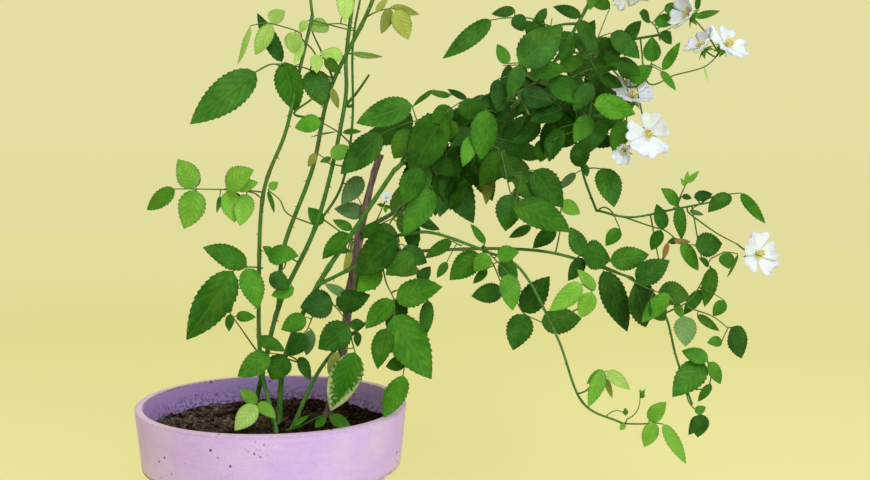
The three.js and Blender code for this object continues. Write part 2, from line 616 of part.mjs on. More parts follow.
for (const limb of LIMBS) {
  const body = growLimb(limb);
  addObstacle(limb.name, body);
  addNode(limb.name, geometryOf(body), limb.name === 'old_wood' ? OLD_BARK : GREEN_BARK, 0.6);
}

MASSES.forEach((spec, index) => {
  const { name, body } = new Mass(spec, index + 1);
  addObstacle(name, body);
  addNode(name, geometryOf(body), LEAF_GREEN, 0.5);
});

export default plant;
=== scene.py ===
"""Looks for the potted rose bush: painted clay pot, soil, canes, toothed leaves and white blossom."""

import logging
import math
from dataclasses import dataclass, field
from enum import Enum
from typing import Any, Callable, Iterable, Sequence

import bpy
from mathutils import Matrix, Vector, noise


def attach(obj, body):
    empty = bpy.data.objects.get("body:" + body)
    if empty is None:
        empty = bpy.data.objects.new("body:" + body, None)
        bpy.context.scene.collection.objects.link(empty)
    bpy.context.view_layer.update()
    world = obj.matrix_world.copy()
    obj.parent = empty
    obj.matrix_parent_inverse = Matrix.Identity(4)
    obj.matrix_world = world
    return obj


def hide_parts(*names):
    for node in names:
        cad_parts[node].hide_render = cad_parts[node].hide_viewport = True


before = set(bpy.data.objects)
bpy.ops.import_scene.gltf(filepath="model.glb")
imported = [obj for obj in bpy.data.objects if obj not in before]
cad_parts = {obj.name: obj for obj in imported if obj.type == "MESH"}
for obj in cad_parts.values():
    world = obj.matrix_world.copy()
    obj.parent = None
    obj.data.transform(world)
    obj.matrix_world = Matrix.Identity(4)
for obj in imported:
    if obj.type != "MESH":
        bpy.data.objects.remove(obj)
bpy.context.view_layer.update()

Pair = tuple[float, float]
Triple = tuple[float, float, float]
Colour = tuple[float, float, float, float]
Sockets = dict[str, Any]

LOG = logging.getLogger("rose_bush")
MM = 0.001
UP = Vector((0.0, 0.0, 1.0))

# The sRGB curve: straight up to the knee, a power beyond it
SRGB_SLOPE, SRGB_KNEE, SRGB_LIFT, SRGB_POWER = 12.92, 0.04045, 0.055, 2.4

# Clay pot and soil, in millimetres, as the solids have them
POT_HEIGHT = 195.0
RIM_RADIUS = 110.0
COLLAR_HEIGHT = 50.0
COLLAR_FOOT = POT_HEIGHT - COLLAR_HEIGHT
COLLAR_FOOT_RADIUS = 105.0
BODY_TOP_RADIUS = 95.0
FOOT_RADIUS = 66.0
WALL = 7.0
FLOOR = 10.0
SOIL_LEVEL = 175.0
SOIL_GAP = 0.3

# Distances from the pot, in metres, at which the floor starts to pale and is palest
FLOOR_NEAR, FLOOR_FAR = 1.5, 10.0

# Canes and boughs, in millimetres: a foot's depth in the soil, and how far a flare and a knot reach
FOOT_DEPTH = 4.0
FLARE, FLARE_REACH = 0.35, 5.0
KNOT_REACH = 2.6
OLD_ROUGH, OLD_LUMP, OLD_KNOT = 0.24, 0.14, 0.2
OLD_ACROSS, OLD_ALONG, OLD_FINENESS, OLD_SWELL = 0.5, 0.07, 0.9, 0.06
GREEN_BODY, GREEN_LUMP, GREEN_KNOT, GREEN_SWELL = 0.83, 0.05, 0.16, 0.12
MOST_KNOT = 1.4
SIDEWAYS = Vector((1.0, 0.3, 0.1))

# The distance between a limb's rings, in millimetres, and its number of sides
OLD_MESH, GREEN_MESH = (1.6, 20), (2.6, 12)

# A prickle of unit length
THORN_TIP, THORN_MIDDLE = Vector((0.0, 1.0, -0.25)), Vector((0.0, 0.5, 0.08))
THORN_RADII, THORN_TAPER, THORN_STEP, THORN_SIDES = (0.26, 0.03), 0.7, 0.25, 5

# The rule that grows the leaves
STALK_BOW = 0.08
STEM_BOW = 0.08
STEM_START = 0.4
FIRST_RULED_LEAF = 0.28
LAST_PAIR_SHARE = 0.84
BARE_STALK = 0.6
PAIR_SHRINK = 0.9
SIDE_LENGTH = (0.9, 1.08)
SIDE_SWEEP = (0.25, 0.59)
SIDE_DROOP = (0.0, 0.24)
LEAFLET_RATIO = 0.54
STEM_PLACES = 20
SHORTEST_STALK = 0.25
LEAF_TURN = 2.4
LEAF_FORWARD = 0.5
LEAF_SPREAD = 0.9
LEAF_WEIGHT = 0.3
LEAF_REACH = (0.85, 1.12)
LEAF_SIZE = (0.8, 1.1)
RULE_LEAF_SIZE = 33.0
RULE_PAIRS = 2
CROWN_PLANE = 45.0
CROWN_DEPTH = 50.0
LOOK_UP = 0.45
LOOK_RIGHT = 0.1
PAIR_STAGGER = 0.6
PAIR_ROLL = 14.0
CROWN_SLACK = 4.0
LIMB_CLEAR = 1.0
CROWN_LOW = Vector((-104.0, -150.0, 172.0))
CROWN_HIGH = Vector((408.0, 190.0, 660.0))

# The leaflet shapes, each by its seed and its number of teeth
SMALL_LEAFLETS = ((1, 10), (2, 11), (3, 10), (4, 12))
LARGE_LEAFLETS = ((5, 14), (6, 13))
LARGE_BITE = 0.07

# How a leaf that the photo shows is set in depth, in millimetres and degrees
BLADE_FORWARD = 1.0
BLADE_STEP = 3.0
BLADE_DIP = (-0.5, 0.2)
BLADE_LOOK = Vector((0.1, -1.0, 0.5))
BLADE_ROLL = 28.0
LEAF_ROLL = 52.0
BLADE_RATIO = 0.3
LARGE_BLADE = 43.0
HIDDEN_POINTS = (0.05, 0.5, 0.95)
COVER_REACH = 1.1
PHOTO_TOP = -2.0
SHADE_FRONT = -8.0
RIGHT_TURNS = 0.7
LEAST_SHOWN = 0.6

# Stems and stalks: radii in millimetres at both ends, and how they thin
STALK_STEP = 4.0
STALK_SIDES = 6
STALK_TAPER = 0.6
TWIG_TAPER = 0.7
TWIG_SHARE = 0.7
TWIG_RADII = (0.9, 1.5)
RULED_STALK = (0.75, 0.45)
SHORT_STALK = (0.5, 0.4)
BLOOM_STALK = (0.75, 0.65)
BLOOM_BACK = 0.6
BLOOM_BEND = 0.4
SHORTEST_GAP = 1.0
WOOD_STEP = 10
LINE_STEP = 4


def linear(code: str) -> Colour:
    """Turns a six-digit sRGB colour into linear RGBA.

    Args:
        code: the colour, such as "c8aad7".

    Returns:
        Linear red, green, blue and full alpha.
    """
    parts = [int(code[i:i + 2], 16) / 255 for i in (0, 2, 4)]
    return (*[p / SRGB_SLOPE if p <= SRGB_KNEE else ((p + SRGB_LIFT) / (1 + SRGB_LIFT)) ** SRGB_POWER
              for p in parts], 1.0)


def lerp(start: float, end: float, share: float) -> float:
    """Returns the value that lies a share of the way from start to end."""
    return start + (end - start) * share


def clamp(value: float, low: float = 0.0, high: float = 1.0) -> float:
    """Returns the value held between low and high."""
    return max(low, min(high, value))


def squared(normal: Vector, along: Vector) -> Vector:
    """Returns the part of normal that is square to along, at unit length."""
    return (normal - along * normal.dot(along)).normalized()


class Chance:
    """A linear congruential generator: the same seed always grows the same mass."""

    SPAN = 2 ** 32
    MULTIPLIER = 1664525
    INCREMENT = 1013904223

    def __init__(self, seed: int) -> None:
        """Starts the sequence at seed."""
        self.state = seed % self.SPAN

    def __call__(self, low: float, high: float) -> float:
        """Returns the next value between low and high."""
        self.state = (self.state * self.MULTIPLIER + self.INCREMENT) % self.SPAN
        return low + (high - low) * self.state / self.SPAN


@dataclass(frozen=True)
class Sight:
    """The photo's view: turns its pixels into places in millimetres, and places into its pixels."""

    place: Triple = (133.0, -1157.0, 466.0)
    pitch: float = 6.8
    width: float = 870.0
    focal: float = 1450.0
    centre: Pair = (435.0, 240.0)

    def _axes(self) -> tuple[Vector, Vector, Vector]:
        """Returns the view's right, down and ahead.

        Returns:
            The view's right, down and ahead, each of unit length.
        """
        lean = math.radians(self.pitch)
        return (Vector((1.0, 0.0, 0.0)), Vector((0.0, -math.sin(lean), -math.cos(lean))),
                Vector((0.0, math.cos(lean), -math.sin(lean))))

    def spot(self, pixel: Pair, depth: float) -> Vector:
        """Finds the place that is seen at a pixel.

        Args:
            pixel: the pixel, across and down.
            depth: how far back the place lies, along Y.

        Returns:
            The place, in millimetres.
        """
        right, down, ahead = self._axes()
        ray = ahead + (right * (pixel[0] - self.centre[0]) + down * (pixel[1] - self.centre[1])) / self.focal
        eye = Vector(self.place)
        return eye + ray * ((depth - eye.y) / ray.y)

    def seen(self, place: Vector) -> Vector:
        """Finds the pixel at which a place is seen.

        Args:
            place: the place, in millimetres.

        Returns:
            The pixel, across and down.
        """
        right, down, ahead = self._axes()
        sight = place - Vector(self.place)
        scale = self.focal / sight.dot(ahead)
        return Vector((self.centre[0] + sight.dot(right) * scale, self.centre[1] + sight.dot(down) * scale))

    def toward(self, place: Vector) -> Vector:
        """Returns the way from a place to the eye."""
        return (Vector(self.place) - place).normalized()


SIGHT = Sight()


# Node trees


@dataclass(frozen=True)
class Grain:
    """A noise: its scale to the metre, its detail and its roughness."""

    scale: float
    detail: float = 2.0
    rough: float = 0.5


@dataclass(frozen=True)
class Band:
    """The values at which a mask starts and is full, either one the larger, and how strongly it shows."""

    start: float
    full: float
    strength: float = 1.0


@dataclass(frozen=True)
class Relief:
    """How strongly a bump shows, and how high it is in metres."""

    strength: float
    height: float


class Graph:
    """Adds nodes to one shader or geometry tree."""

    # The numbers of a colour mix's sockets
    MIX_FIRST, MIX_SECOND, MIX_RESULT = 6, 7, 2

    def __init__(self, tree: bpy.types.NodeTree) -> None:
        """Wraps the tree."""
        self.tree = tree

    def node(self, kind: str, settings: dict[str, Any] | None = None,
             values: dict[str | int, Any] | None = None) -> bpy.types.Node:
        """Adds a node.

        Args:
            kind: the node's type.
            settings: its properties, set before its inputs.
            values: a value, socket or field for each named or numbered input.

        Returns:
            The new node.
        """
        made = self.tree.nodes.new(kind)
        for name, value in (settings or {}).items():
            setattr(made, name, value)
        for name, value in (values or {}).items():
            self.feed(made.inputs[name], value)
        return made

    def feed(self, socket: bpy.types.NodeSocket, value: Any) -> None:
        """Links a field or socket to an input, or sets its constant.

        Args:
            socket: the input.
            value: the field, socket or constant.
        """
        if isinstance(value, Field):
            value = value.socket
        if isinstance(value, bpy.types.NodeSocket):
            self.tree.links.new(value, socket)
        else:
            socket.default_value = value

    def field(self, kind: str, settings: dict[str, Any] | None = None,
              values: dict[str | int, Any] | None = None, output: str | int = 0) -> "Field":
        """Adds a node as node() does, and returns one of its outputs as a field."""
        return Field(self, self.node(kind, settings, values).outputs[output])

    def mix(self, factor: Any, first: Any, second: Any) -> "Field":
        """Mixes two colours, each a field or an sRGB code, by a factor."""
        start, end = [linear(tone) if isinstance(tone, str) else tone for tone in (first, second)]
        return self.field("ShaderNodeMix", {"data_type": "RGBA"}, {
            0: factor, self.MIX_FIRST: start, self.MIX_SECOND: end}, self.MIX_RESULT)

    def ramp(self, factor: Any, *stops: tuple[float, str]) -> "Field":
        """Adds a colour ramp.

        Args:
            factor: what picks the colour, from 0 to 1.
            stops: the ramp's stops, each a position and an sRGB code.

        Returns:
            The colour.
        """
        node = self.node("ShaderNodeValToRGB", None, {0: factor})
        elements = node.color_ramp.elements
        while len(elements) < len(stops):
            elements.new(0.5)
        for element, (position, code) in zip(elements, stops):
            element.position, element.color = position, linear(code)
        return Field(self, node.outputs[0])

    def grain(self, vector: Any, grain: Grain) -> "Field":
        """Returns a noise field over a vector."""
        return self.field("ShaderNodeTexNoise", None, {
            "Vector": vector, "Scale": grain.scale, "Detail": grain.detail, "Roughness": grain.rough})

    def cells(self, vector: Any, scale: float) -> "Field":
        """Returns how far it is to the nearest of points strewn over a vector."""
        return self.field("ShaderNodeTexVoronoi", None, {"Vector": vector, "Scale": scale})

    def place(self) -> "Field":
        """Returns the object's own coordinates."""
        return self.field("ShaderNodeTexCoord", output="Object")

    def blade(self) -> "Field":
        """Returns the place on a leaflet or petal: across it and along it, each from 0 to 1."""
        return self.field("ShaderNodeUVMap", {"uv_map": "blade"})

    def bump(self, height: Any, relief: Relief) -> "Field":
        """Returns a normal that follows a height field."""
        return self.field("ShaderNodeBump", None, {
            "Strength": relief.strength, "Distance": relief.height, "Height": height})


class Field:
    """A socket's varying value, used in plain arithmetic."""

    def __init__(self, graph: Graph, socket: bpy.types.NodeSocket) -> None:
        """Wraps a socket of the graph."""
        self.graph = graph
        self.socket = socket

    def _math(self, operation: str, *values: Any, hold: bool = False) -> "Field":
        """Adds a Math node on the values."""
        return self.graph.field("ShaderNodeMath", {"operation": operation, "use_clamp": hold},
                                dict(enumerate(values)))

    def __add__(self, other: Any) -> "Field":
        """Returns the sum."""
        return self._math("ADD", self, other)

    def __radd__(self, other: Any) -> "Field":
        """Returns the sum."""
        return self._math("ADD", other, self)

    def __sub__(self, other: Any) -> "Field":
        """Returns the difference."""
        return self._math("SUBTRACT", self, other)

    def __rsub__(self, other: Any) -> "Field":
        """Returns the difference from other."""
        return self._math("SUBTRACT", other, self)

    def __mul__(self, other: Any) -> "Field":
        """Returns the product."""
        return self._math("MULTIPLY", self, other)

    def __rmul__(self, other: Any) -> "Field":
        """Returns the product."""
        return self._math("MULTIPLY", other, self)

    def __truediv__(self, other: Any) -> "Field":
        """Returns the quotient."""
        return self._math("DIVIDE", self, other)

    def __pow__(self, other: Any) -> "Field":
        """Returns the power."""
        return self._math("POWER", self, other)

    def __abs__(self) -> "Field":
        """Returns the size without the sign."""
        return self._math("ABSOLUTE", self)

    def wrapped(self) -> "Field":
        """Returns the part after the point."""
        return self._math("FRACT", self)

    def sine(self) -> "Field":
        """Returns the sine."""
        return self._math("SINE", self)

    def held(self) -> "Field":
        """Returns the value held between 0 and 1."""
        return self._math("ADD", self, 0.0, hold=True)

    def mask(self, band: Band) -> "Field":
        """Returns 0 where a band starts, rising to its strength where it is full, and held there."""
        held = ((self - band.start) / (band.full - band.start)).held()
        return held if band.strength == 1.0 else held * band.strength

    def part(self, axis: str) -> "Field":
        """Returns one part of a vector, "X", "Y" or "Z"."""
        return self.graph.field("ShaderNodeSeparateXYZ", None, {0: self}, axis)

    def scaled(self, by: Any) -> "Field":
        """Returns the colour or vector times a number."""
        return self.graph.field("ShaderNodeVectorMath", {"operation": "SCALE"}, {0: self, "Scale": by})

    def drawn(self, share: float) -> "Field":
        """Returns the place with its height scaled, which draws grain out along or across the upright."""
        return self.graph.field("ShaderNodeVectorMath", {"operation": "MULTIPLY"},
                                {0: self, 1: (1.0, 1.0, share)})


def material(name: str, dress: Callable[[Graph], Sockets]) -> bpy.types.Material:
    """Makes a material from one shader.

    Args:
        name: the material's name.
        dress: returns what the shader's sockets take, given the graph.

    Returns:
        The new material.
    """
    made = bpy.data.materials.new(name)
    made.use_nodes = True
    graph = Graph(made.node_tree)
    shader = made.node_tree.nodes["Principled BSDF"]
    for socket, value in dress(graph).items():
        graph.feed(shader.inputs[socket], value)
    return made


# Meshes


@dataclass
class Shape:
    """Vertices, faces and face corners' UVs of a mesh in the making, in millimetres."""

    vertices: list[Vector] = field(default_factory=list)
    faces: list[tuple[int, ...]] = field(default_factory=list)
    uvs: list[Pair] = field(default_factory=list)

    def add(self, other: "Shape") -> None:
        """Joins another shape on.

        Args:
            other: the shape that is joined on.
        """
        first = len(self.vertices)
        self.vertices.extend(other.vertices)
        self.faces.extend(tuple(i + first for i in face) for face in other.faces)
        self.uvs.extend(other.uvs)

    def mesh(self, name: str, uv_name: str = "", scale: float = MM, smooth: bool = True) -> bpy.types.Mesh:
        """Makes the mesh.

        Args:
            name: the mesh's name.
            uv_name: the UV map's name, if the shape has one.
            scale: metres to one unit of the shape.
            smooth: whether its faces are shaded smooth.

        Returns:
            The new mesh.
        """
        made = bpy.data.meshes.new(name)
        made.from_pydata([tuple(v * scale) for v in self.vertices], [], self.faces)
        if uv_name:
            layer = made.uv_layers.new(name=uv_name)
            layer.data.foreach_set("uv", [c for uv in self.uvs for c in uv])
        made.polygons.foreach_set("use_smooth", [smooth] * len(made.polygons))
        made.update()
        return made


def put(name: str, mesh: bpy.types.Mesh, *finishes: bpy.types.Material) -> bpy.types.Object:
    """Puts a mesh in the scene as an object at the origin.

    Args:
        name: the object's name.
        mesh: its mesh.
        finishes: its materials.

    Returns:
        The new object.
    """
    made = bpy.data.objects.new(name, mesh)
    bpy.context.scene.collection.objects.link(made)
    for finish in finishes:
        mesh.materials.append(finish)
    return made


def settle(piece: bpy.types.Object, nodes: Iterable[str] = ()) -> None:
    """Fixes a finished piece to the frame and reports it.

    Args:
        piece: the piece.
        nodes: the CAD nodes that it stands for.
    """
    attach(piece, "root")
    if nodes:
        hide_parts(*nodes)
    LOG.info("%s: %d faces", piece.name, len(piece.data.polygons))


@dataclass(frozen=True)
class Setting:
    """Where one scattered shape goes: its place, turn and size in metres, its shape number and its shade."""

    place: Vector
    turn: Vector
    size: Vector
    pattern: int = 0
    shade: float = 0.0


def turned_to(along: Vector, normal: Vector) -> Vector:
    """Returns the turn that takes +Y to along and +Z to normal."""
    return Vector(Matrix((along.cross(normal), along, normal)).transposed().to_euler("XYZ"))


def dots(name: str, settings: Sequence[Setting]) -> bpy.types.Object:
    """Makes loose points that carry each setting's turn, size, shape number and shade.

    Args:
        name: the name of their mesh.
        settings: a setting for each point.

    Returns:
        The object that holds the points.
    """
    mesh = bpy.data.meshes.new(name)
    mesh.from_pydata([tuple(setting.place) for setting in settings], [], [])
    for key in ("turn", "size"):
        layer = mesh.attributes.new(key, "FLOAT_VECTOR", "POINT")
        layer.data.foreach_set("vector", [c for setting in settings for c in getattr(setting, key)])
    for key, kind in (("pattern", "INT"), ("shade", "FLOAT")):
        layer = mesh.attributes.new(key, kind, "POINT")
        layer.data.foreach_set("value", [getattr(setting, key) for setting in settings])
    return put(name, mesh)


class Scatter:
    """A Geometry Nodes tree that sets one of several shapes on each point, turned and sized."""

    def __init__(self, name: str, shapes: Sequence[bpy.types.Mesh]) -> None:
        """Builds the tree for the shapes, which become its named inputs' values.

        Args:
            name: the tree's name.
            shapes: the shapes to choose from.
        """
        self.tree = bpy.data.node_groups.new(name, "GeometryNodeTree")
        self.patterns = [bpy.data.objects.new(mesh.name, mesh) for mesh in shapes]
        face = self.tree.interface
        face.new_socket("Geometry", in_out="OUTPUT", socket_type="NodeSocketGeometry")
        face.new_socket("Points", in_out="INPUT", socket_type="NodeSocketGeometry")
        inputs = {f"Shape {i}": "NodeSocketObject" for i in range(len(shapes))}
        inputs |= {"Upper": "NodeSocketMaterial", "Under": "NodeSocketMaterial"}
        self.sockets = {key: face.new_socket(key, in_out="INPUT", socket_type=kind).identifier
                        for key, kind in inputs.items()}
        graph = Graph(self.tree)
        given = graph.node("NodeGroupInput")
        choice = graph.node("GeometryNodeJoinGeometry")
        for i in reversed(range(len(shapes))):
            pattern = graph.node("GeometryNodeObjectInfo", None, {"Object": given.outputs[f"Shape {i}"]})
            instance = graph.field("GeometryNodeGeometryToInstance", None, {0: pattern.outputs["Geometry"]})
            graph.feed(choice.inputs[0], instance)
        turn = graph.field("FunctionNodeEulerToRotation", None,
                           {0: self._named(graph, "turn", "FLOAT_VECTOR")})
        set_out = graph.field("GeometryNodeInstanceOnPoints", None, {
            "Points": given.outputs["Points"], "Instance": choice.outputs[0], "Pick Instance": True,
            "Instance Index": self._named(graph, "pattern", "INT"), "Rotation": turn,
            "Scale": self._named(graph, "size", "FLOAT_VECTOR")})
        real = graph.field("GeometryNodeRealizeInstances", None, {0: set_out})
        upper = graph.field("GeometryNodeSetMaterial", None, {0: real, "Material": given.outputs["Upper"]})
        under = graph.field("GeometryNodeSetMaterial", None, {
            0: upper, "Selection": self._named(graph, "under", "BOOLEAN"),
            "Material": given.outputs["Under"]})
        graph.node("NodeGroupOutput", None, {0: under})

    @staticmethod
    def _named(graph: Graph, name: str, kind: str) -> Field:
        """Returns a named attribute's field."""
        return graph.field("GeometryNodeInputNamedAttribute", {"data_type": kind}, {"Name": name})

    def realised(self, name: str, settings: Sequence[Setting], upper: bpy.types.Material,
                 under: bpy.types.Material | None = None) -> bpy.types.Object:
        """Runs the tree on the settings' points and keeps the result as a plain mesh.

        Args:
            name: the finished piece's name.
            settings: where each shape goes.
            upper: the finish of the shapes.
            under: the finish of their underside faces, if it differs.

        Returns:
            The finished piece.
        """
        points = dots(name + "_points", settings)
        modifier = points.modifiers.new("Scatter", "NODES")
        modifier.node_group = self.tree
        for i, pattern in enumerate(self.patterns):
            modifier[self.sockets[f"Shape {i}"]] = pattern
        modifier[self.sockets["Upper"]] = upper
        modifier[self.sockets["Under"]] = under or upper
        graph = bpy.context.evaluated_depsgraph_get()
        mesh = bpy.data.meshes.new_from_object(
            points.evaluated_get(graph), preserve_all_data_layers=True, depsgraph=graph)
        points.modifiers.clear()
        bpy.data.objects.remove(points)
        mesh.name = name
        return put(name, mesh)

    def discard(self) -> None:
        """Removes the patterns once every piece is made."""
        for pattern in self.patterns:
            bpy.data.objects.remove(pattern)


def strew(name: str, settings: Sequence[Setting], shapes: Sequence[bpy.types.Mesh],
          finish: bpy.types.Material, nodes: Iterable[str] = ()) -> None:
    """Makes a piece of scattered shapes with one finish, and fixes it to the frame.

    Args:
        name: the piece's name.
        settings: where each shape goes.
        shapes: the shapes to choose from.
        finish: the piece's material.
        nodes: the CAD nodes that it stands for.
    """
    scatter = Scatter(name, shapes)
    piece = scatter.realised(name, settings, finish)
    scatter.discard()
    settle(piece, nodes)


# Finishes


@dataclass(frozen=True)
class LeafFinish:
    """The colours of one tone of leaf, over and under."""

    name: str
    blade: str
    vein: str
    under: str
    gloss: float = 0.44
    edge: str = ""

    WARM_PATCH = "5c7410"
    SIDE_VEINS, VEIN_SLANT = 7.0, 2.1
    SIDE_VEIN, SIDE_VEIN_REACH, MIDRIB = Band(0.16, 0.0, 0.34), Band(1.0, 0.7), Band(0.1, 0.02)
    QUILT, QUILT_START, QUILT_END = Band(0.0, 0.7), Band(0.0, 0.25), Band(1.0, 0.6)
    PATCH, MOTTLE, FINE, WARMTH = Grain(55.0, 3.0), Grain(230.0, 3.0), Grain(900.0), Grain(34.0)
    PATCHY, MOTTLED, WARM = Band(0.35, 0.7, 0.45), Band(0.45, 0.7, 0.25), Band(0.54, 0.72, 0.25)
    SHADE_TONE, VEIN_TONE = 0.25, 0.5
    # How light the blade is: a least value, the random lightness of fine grain and shade, and painted light
    # on the blade's bulges between the veins
    LEAST_LIGHT, FINE_LIGHT, SHADE_LIGHT, QUILT_LIGHT = 0.53, 0.26, 0.36, 0.24
    VEIN_DEPTH, FINE_DEPTH, FINE_ROUGH = 0.5, 0.15, 0.16
    UPPER_SHINE, UPPER_RELIEF = 0.14, Relief(0.3, 0.0004)
    EDGE_ALONG, EDGE_OUT = Band(0.3, 0.95, 0.5), Band(0.35, 1.0, 0.45)
    EDGE_SPOTS, EDGE_SPOTTED, EDGE_PALE = Grain(420.0, 3.0), 0.9, Band(0.84, 1.04, 0.85)
    UNDER_FINE, UNDER_VEIN_TONE, UNDER_FINE_DEPTH = Grain(700.0), 0.3, 0.2
    UNDER_LIGHT, UNDER_FINE_LIGHT, UNDER_ROUGH, UNDER_FINE_ROUGH = 0.88, 0.24, 0.62, 0.1
    UNDER_SHINE, UNDER_RELIEF = 0.12, Relief(0.35, 0.0004)

    def _veins(self, graph: Graph) -> tuple[Field, Field]:
        """Draws the midrib, the side veins and the blade between them.

        Args:
            graph: the material's graph.

        Returns:
            The mask of the veins, and the height of the blade between them.
        """
        uv = graph.blade()
        across = abs(uv.part("X") * 2.0 - 1.0)
        ridge = abs((uv.part("Y") * self.SIDE_VEINS - across * self.VEIN_SLANT).wrapped() - 0.5) * 2.0
        side = ridge.mask(self.SIDE_VEIN) * across.mask(self.SIDE_VEIN_REACH)
        quilt = ridge.mask(self.QUILT) * across.mask(self.QUILT_START) * across.mask(self.QUILT_END)
        return (across.mask(self.MIDRIB) + side).held(), quilt

    def _edged(self, graph: Graph, colour: Field) -> Field:
        """Gives a leaf a pale, ragged edge towards its point.

        Args:
            graph: the material's graph.
            colour: the leaf's colour.

        Returns:
            The colour with its edge.
        """
        uv = graph.blade()
        along = uv.part("Y").mask(self.EDGE_ALONG)
        out = abs(uv.part("X") * 2.0 - 1.0).mask(self.EDGE_OUT)
        spots = graph.grain(graph.place(), self.EDGE_SPOTS) * self.EDGE_SPOTTED
        return graph.mix((along + out + spots).mask(self.EDGE_PALE), colour, self.edge)

    def _dress_upper(self, graph: Graph) -> Sockets:
        """Dresses the upper side: mottled, with warm patches and paler veins, and the blade lighter where it
        bulges between them, as painted light.

        Args:
            graph: the material's graph.

        Returns:
            What the shader's sockets take.
        """
        veins, quilt = self._veins(graph)
        place = graph.place()
        shade = graph.field("ShaderNodeAttribute", {"attribute_name": "shade"}, None, "Fac")
        fine = graph.grain(place, self.FINE)
        patchy = graph.grain(place, self.PATCH).mask(self.PATCHY)
        mottled = graph.grain(place, self.MOTTLE).mask(self.MOTTLED)
        tone = graph.mix(patchy + shade * self.SHADE_TONE + mottled, self.blade, self.vein)
        warm = graph.mix(graph.grain(place, self.WARMTH).mask(self.WARM), tone, self.WARM_PATCH)
        lined = graph.mix(veins * self.VEIN_TONE, warm, self.vein)
        if self.edge:
            lined = self._edged(graph, lined)
        # Painted light and shade: the blade is lighter where it bulges between the veins and darker in their
        # grooves
        light = fine * self.FINE_LIGHT + shade * self.SHADE_LIGHT + quilt * self.QUILT_LIGHT
        height = quilt - veins * self.VEIN_DEPTH + fine * self.FINE_DEPTH
        return {"Base Color": lined.scaled(light + self.LEAST_LIGHT),
                "Roughness": fine * self.FINE_ROUGH + self.gloss,
                "Specular IOR Level": self.UPPER_SHINE, "Normal": graph.bump(height, self.UPPER_RELIEF)}

    def _dress_under(self, graph: Graph) -> Sockets:
        """Dresses the underside: paler and duller, its veins standing out.

        Args:
            graph: the material's graph.

        Returns:
            What the shader's sockets take.
        """
        veins, _ = self._veins(graph)
        fine = graph.grain(graph.place(), self.UNDER_FINE)
        colour = graph.mix(veins * self.UNDER_VEIN_TONE, self.under, self.vein)
        return {"Base Color": colour.scaled(fine * self.UNDER_FINE_LIGHT + self.UNDER_LIGHT),
                "Roughness": fine * self.UNDER_FINE_ROUGH + self.UNDER_ROUGH,
                "Specular IOR Level": self.UNDER_SHINE,
                "Normal": graph.bump(veins + fine * self.UNDER_FINE_DEPTH, self.UNDER_RELIEF)}

    def upper(self) -> bpy.types.Material:
        """Returns the finish of the upper side."""
        return material(f"{self.name}_upper", self._dress_upper)

    def underside(self) -> bpy.types.Material:
        """Returns the finish of the underside."""
        return material(f"{self.name}_under", self._dress_under)


class Tone(Enum):
    """The tones that the leaves come in."""

    # Partly the leaves' own dark green, partly painted shade for the crown's shadowed heart; its underside
    # is darkened for that shade too
    DEEP = LeafFinish("deep_leaf", "0e3c01", "3a7420", "2a5416")
    MIDDLE = LeafFinish("middle_leaf", "1d5602", "4e8e2a", "4f7a30")
    LIGHT = LeafFinish("light_leaf", "2a6c06", "60a034", "6c9448")
    BRIGHT = LeafFinish("bright_leaf", "549428", "82b448", "84a65c")
    # Partly the young leaves' own pale green, partly painted glow of light shining through them
    YOUNG = LeafFinish("young_leaf", "90bc5a", "b2d27e", "a0be76")
    OLIVE = LeafFinish("olive_leaf", "7b8a3a", "9aa552", "8b9150")
    GREY = LeafFinish("grey_leaf", "4d7a4c", "769a68", "6c9068", 0.55)
    DRY = LeafFinish("dry_leaf", "7a5c38", "9c7f54", "876c48", 0.7)
    PALE_EDGED = LeafFinish("pale_edged_leaf", "286e10", "4f8c2c", "7f9a62", 0.46, "d2dca8")


@dataclass(frozen=True)
class Bark:
    """The skin of a green cane or stalk: long streaks, a blush here and there and small pale pores."""

    name: str
    skin: str
    sheen: str
    blush: str

    PORE_TONE = "b7b48a"
    STREAK, STREAK_DRAWN, STREAKED = Grain(900.0, 3.0), 0.12, Band(0.3, 0.7)
    PATCH, BLUSHED = Grain(22.0), Band(0.52, 0.72, 0.55)
    PORES, PORES_DRAWN, PORE, PORES_IN, PORE_DEPTH = 420.0, 0.45, Band(0.2, 0.1), Band(0.45, 0.6), 0.6
    ROUGH, STREAK_ROUGH, RELIEF = 0.38, 0.2, Relief(0.25, 0.0003)

    def _dress(self, graph: Graph) -> Sockets:
        """Dresses the skin.

        Args:
            graph: the material's graph.

        Returns:
            What the shader's sockets take.
        """
        place = graph.place()
        streak = graph.grain(place.drawn(self.STREAK_DRAWN), self.STREAK)
        patch = graph.grain(place, self.PATCH)
        pores = graph.cells(place.drawn(self.PORES_DRAWN), self.PORES).mask(self.PORE)
        spot = pores * patch.mask(self.PORES_IN)
        base = graph.mix(streak.mask(self.STREAKED), self.skin, self.sheen)
        worn = graph.mix(patch.mask(self.BLUSHED), base, self.blush)
        return {"Base Color": graph.mix(spot * self.PORE_DEPTH, worn, self.PORE_TONE),
                "Roughness": streak * self.STREAK_ROUGH + self.ROUGH,
                "Normal": graph.bump(streak + spot, self.RELIEF)}

    def finish(self) -> bpy.types.Material:
        """Returns the material."""
        return material(self.name, self._dress)


GREEN_BARK = Bark("green_bark", "1f5414", "43802a", "5f5a34")
STALK_SKIN = Bark("stalk_skin", "2b5514", "4e7824", "4c4c22")
PRICKLE_SKIN = Bark("prickle_skin", "6f5a30", "8f7a44", "7a4a34")


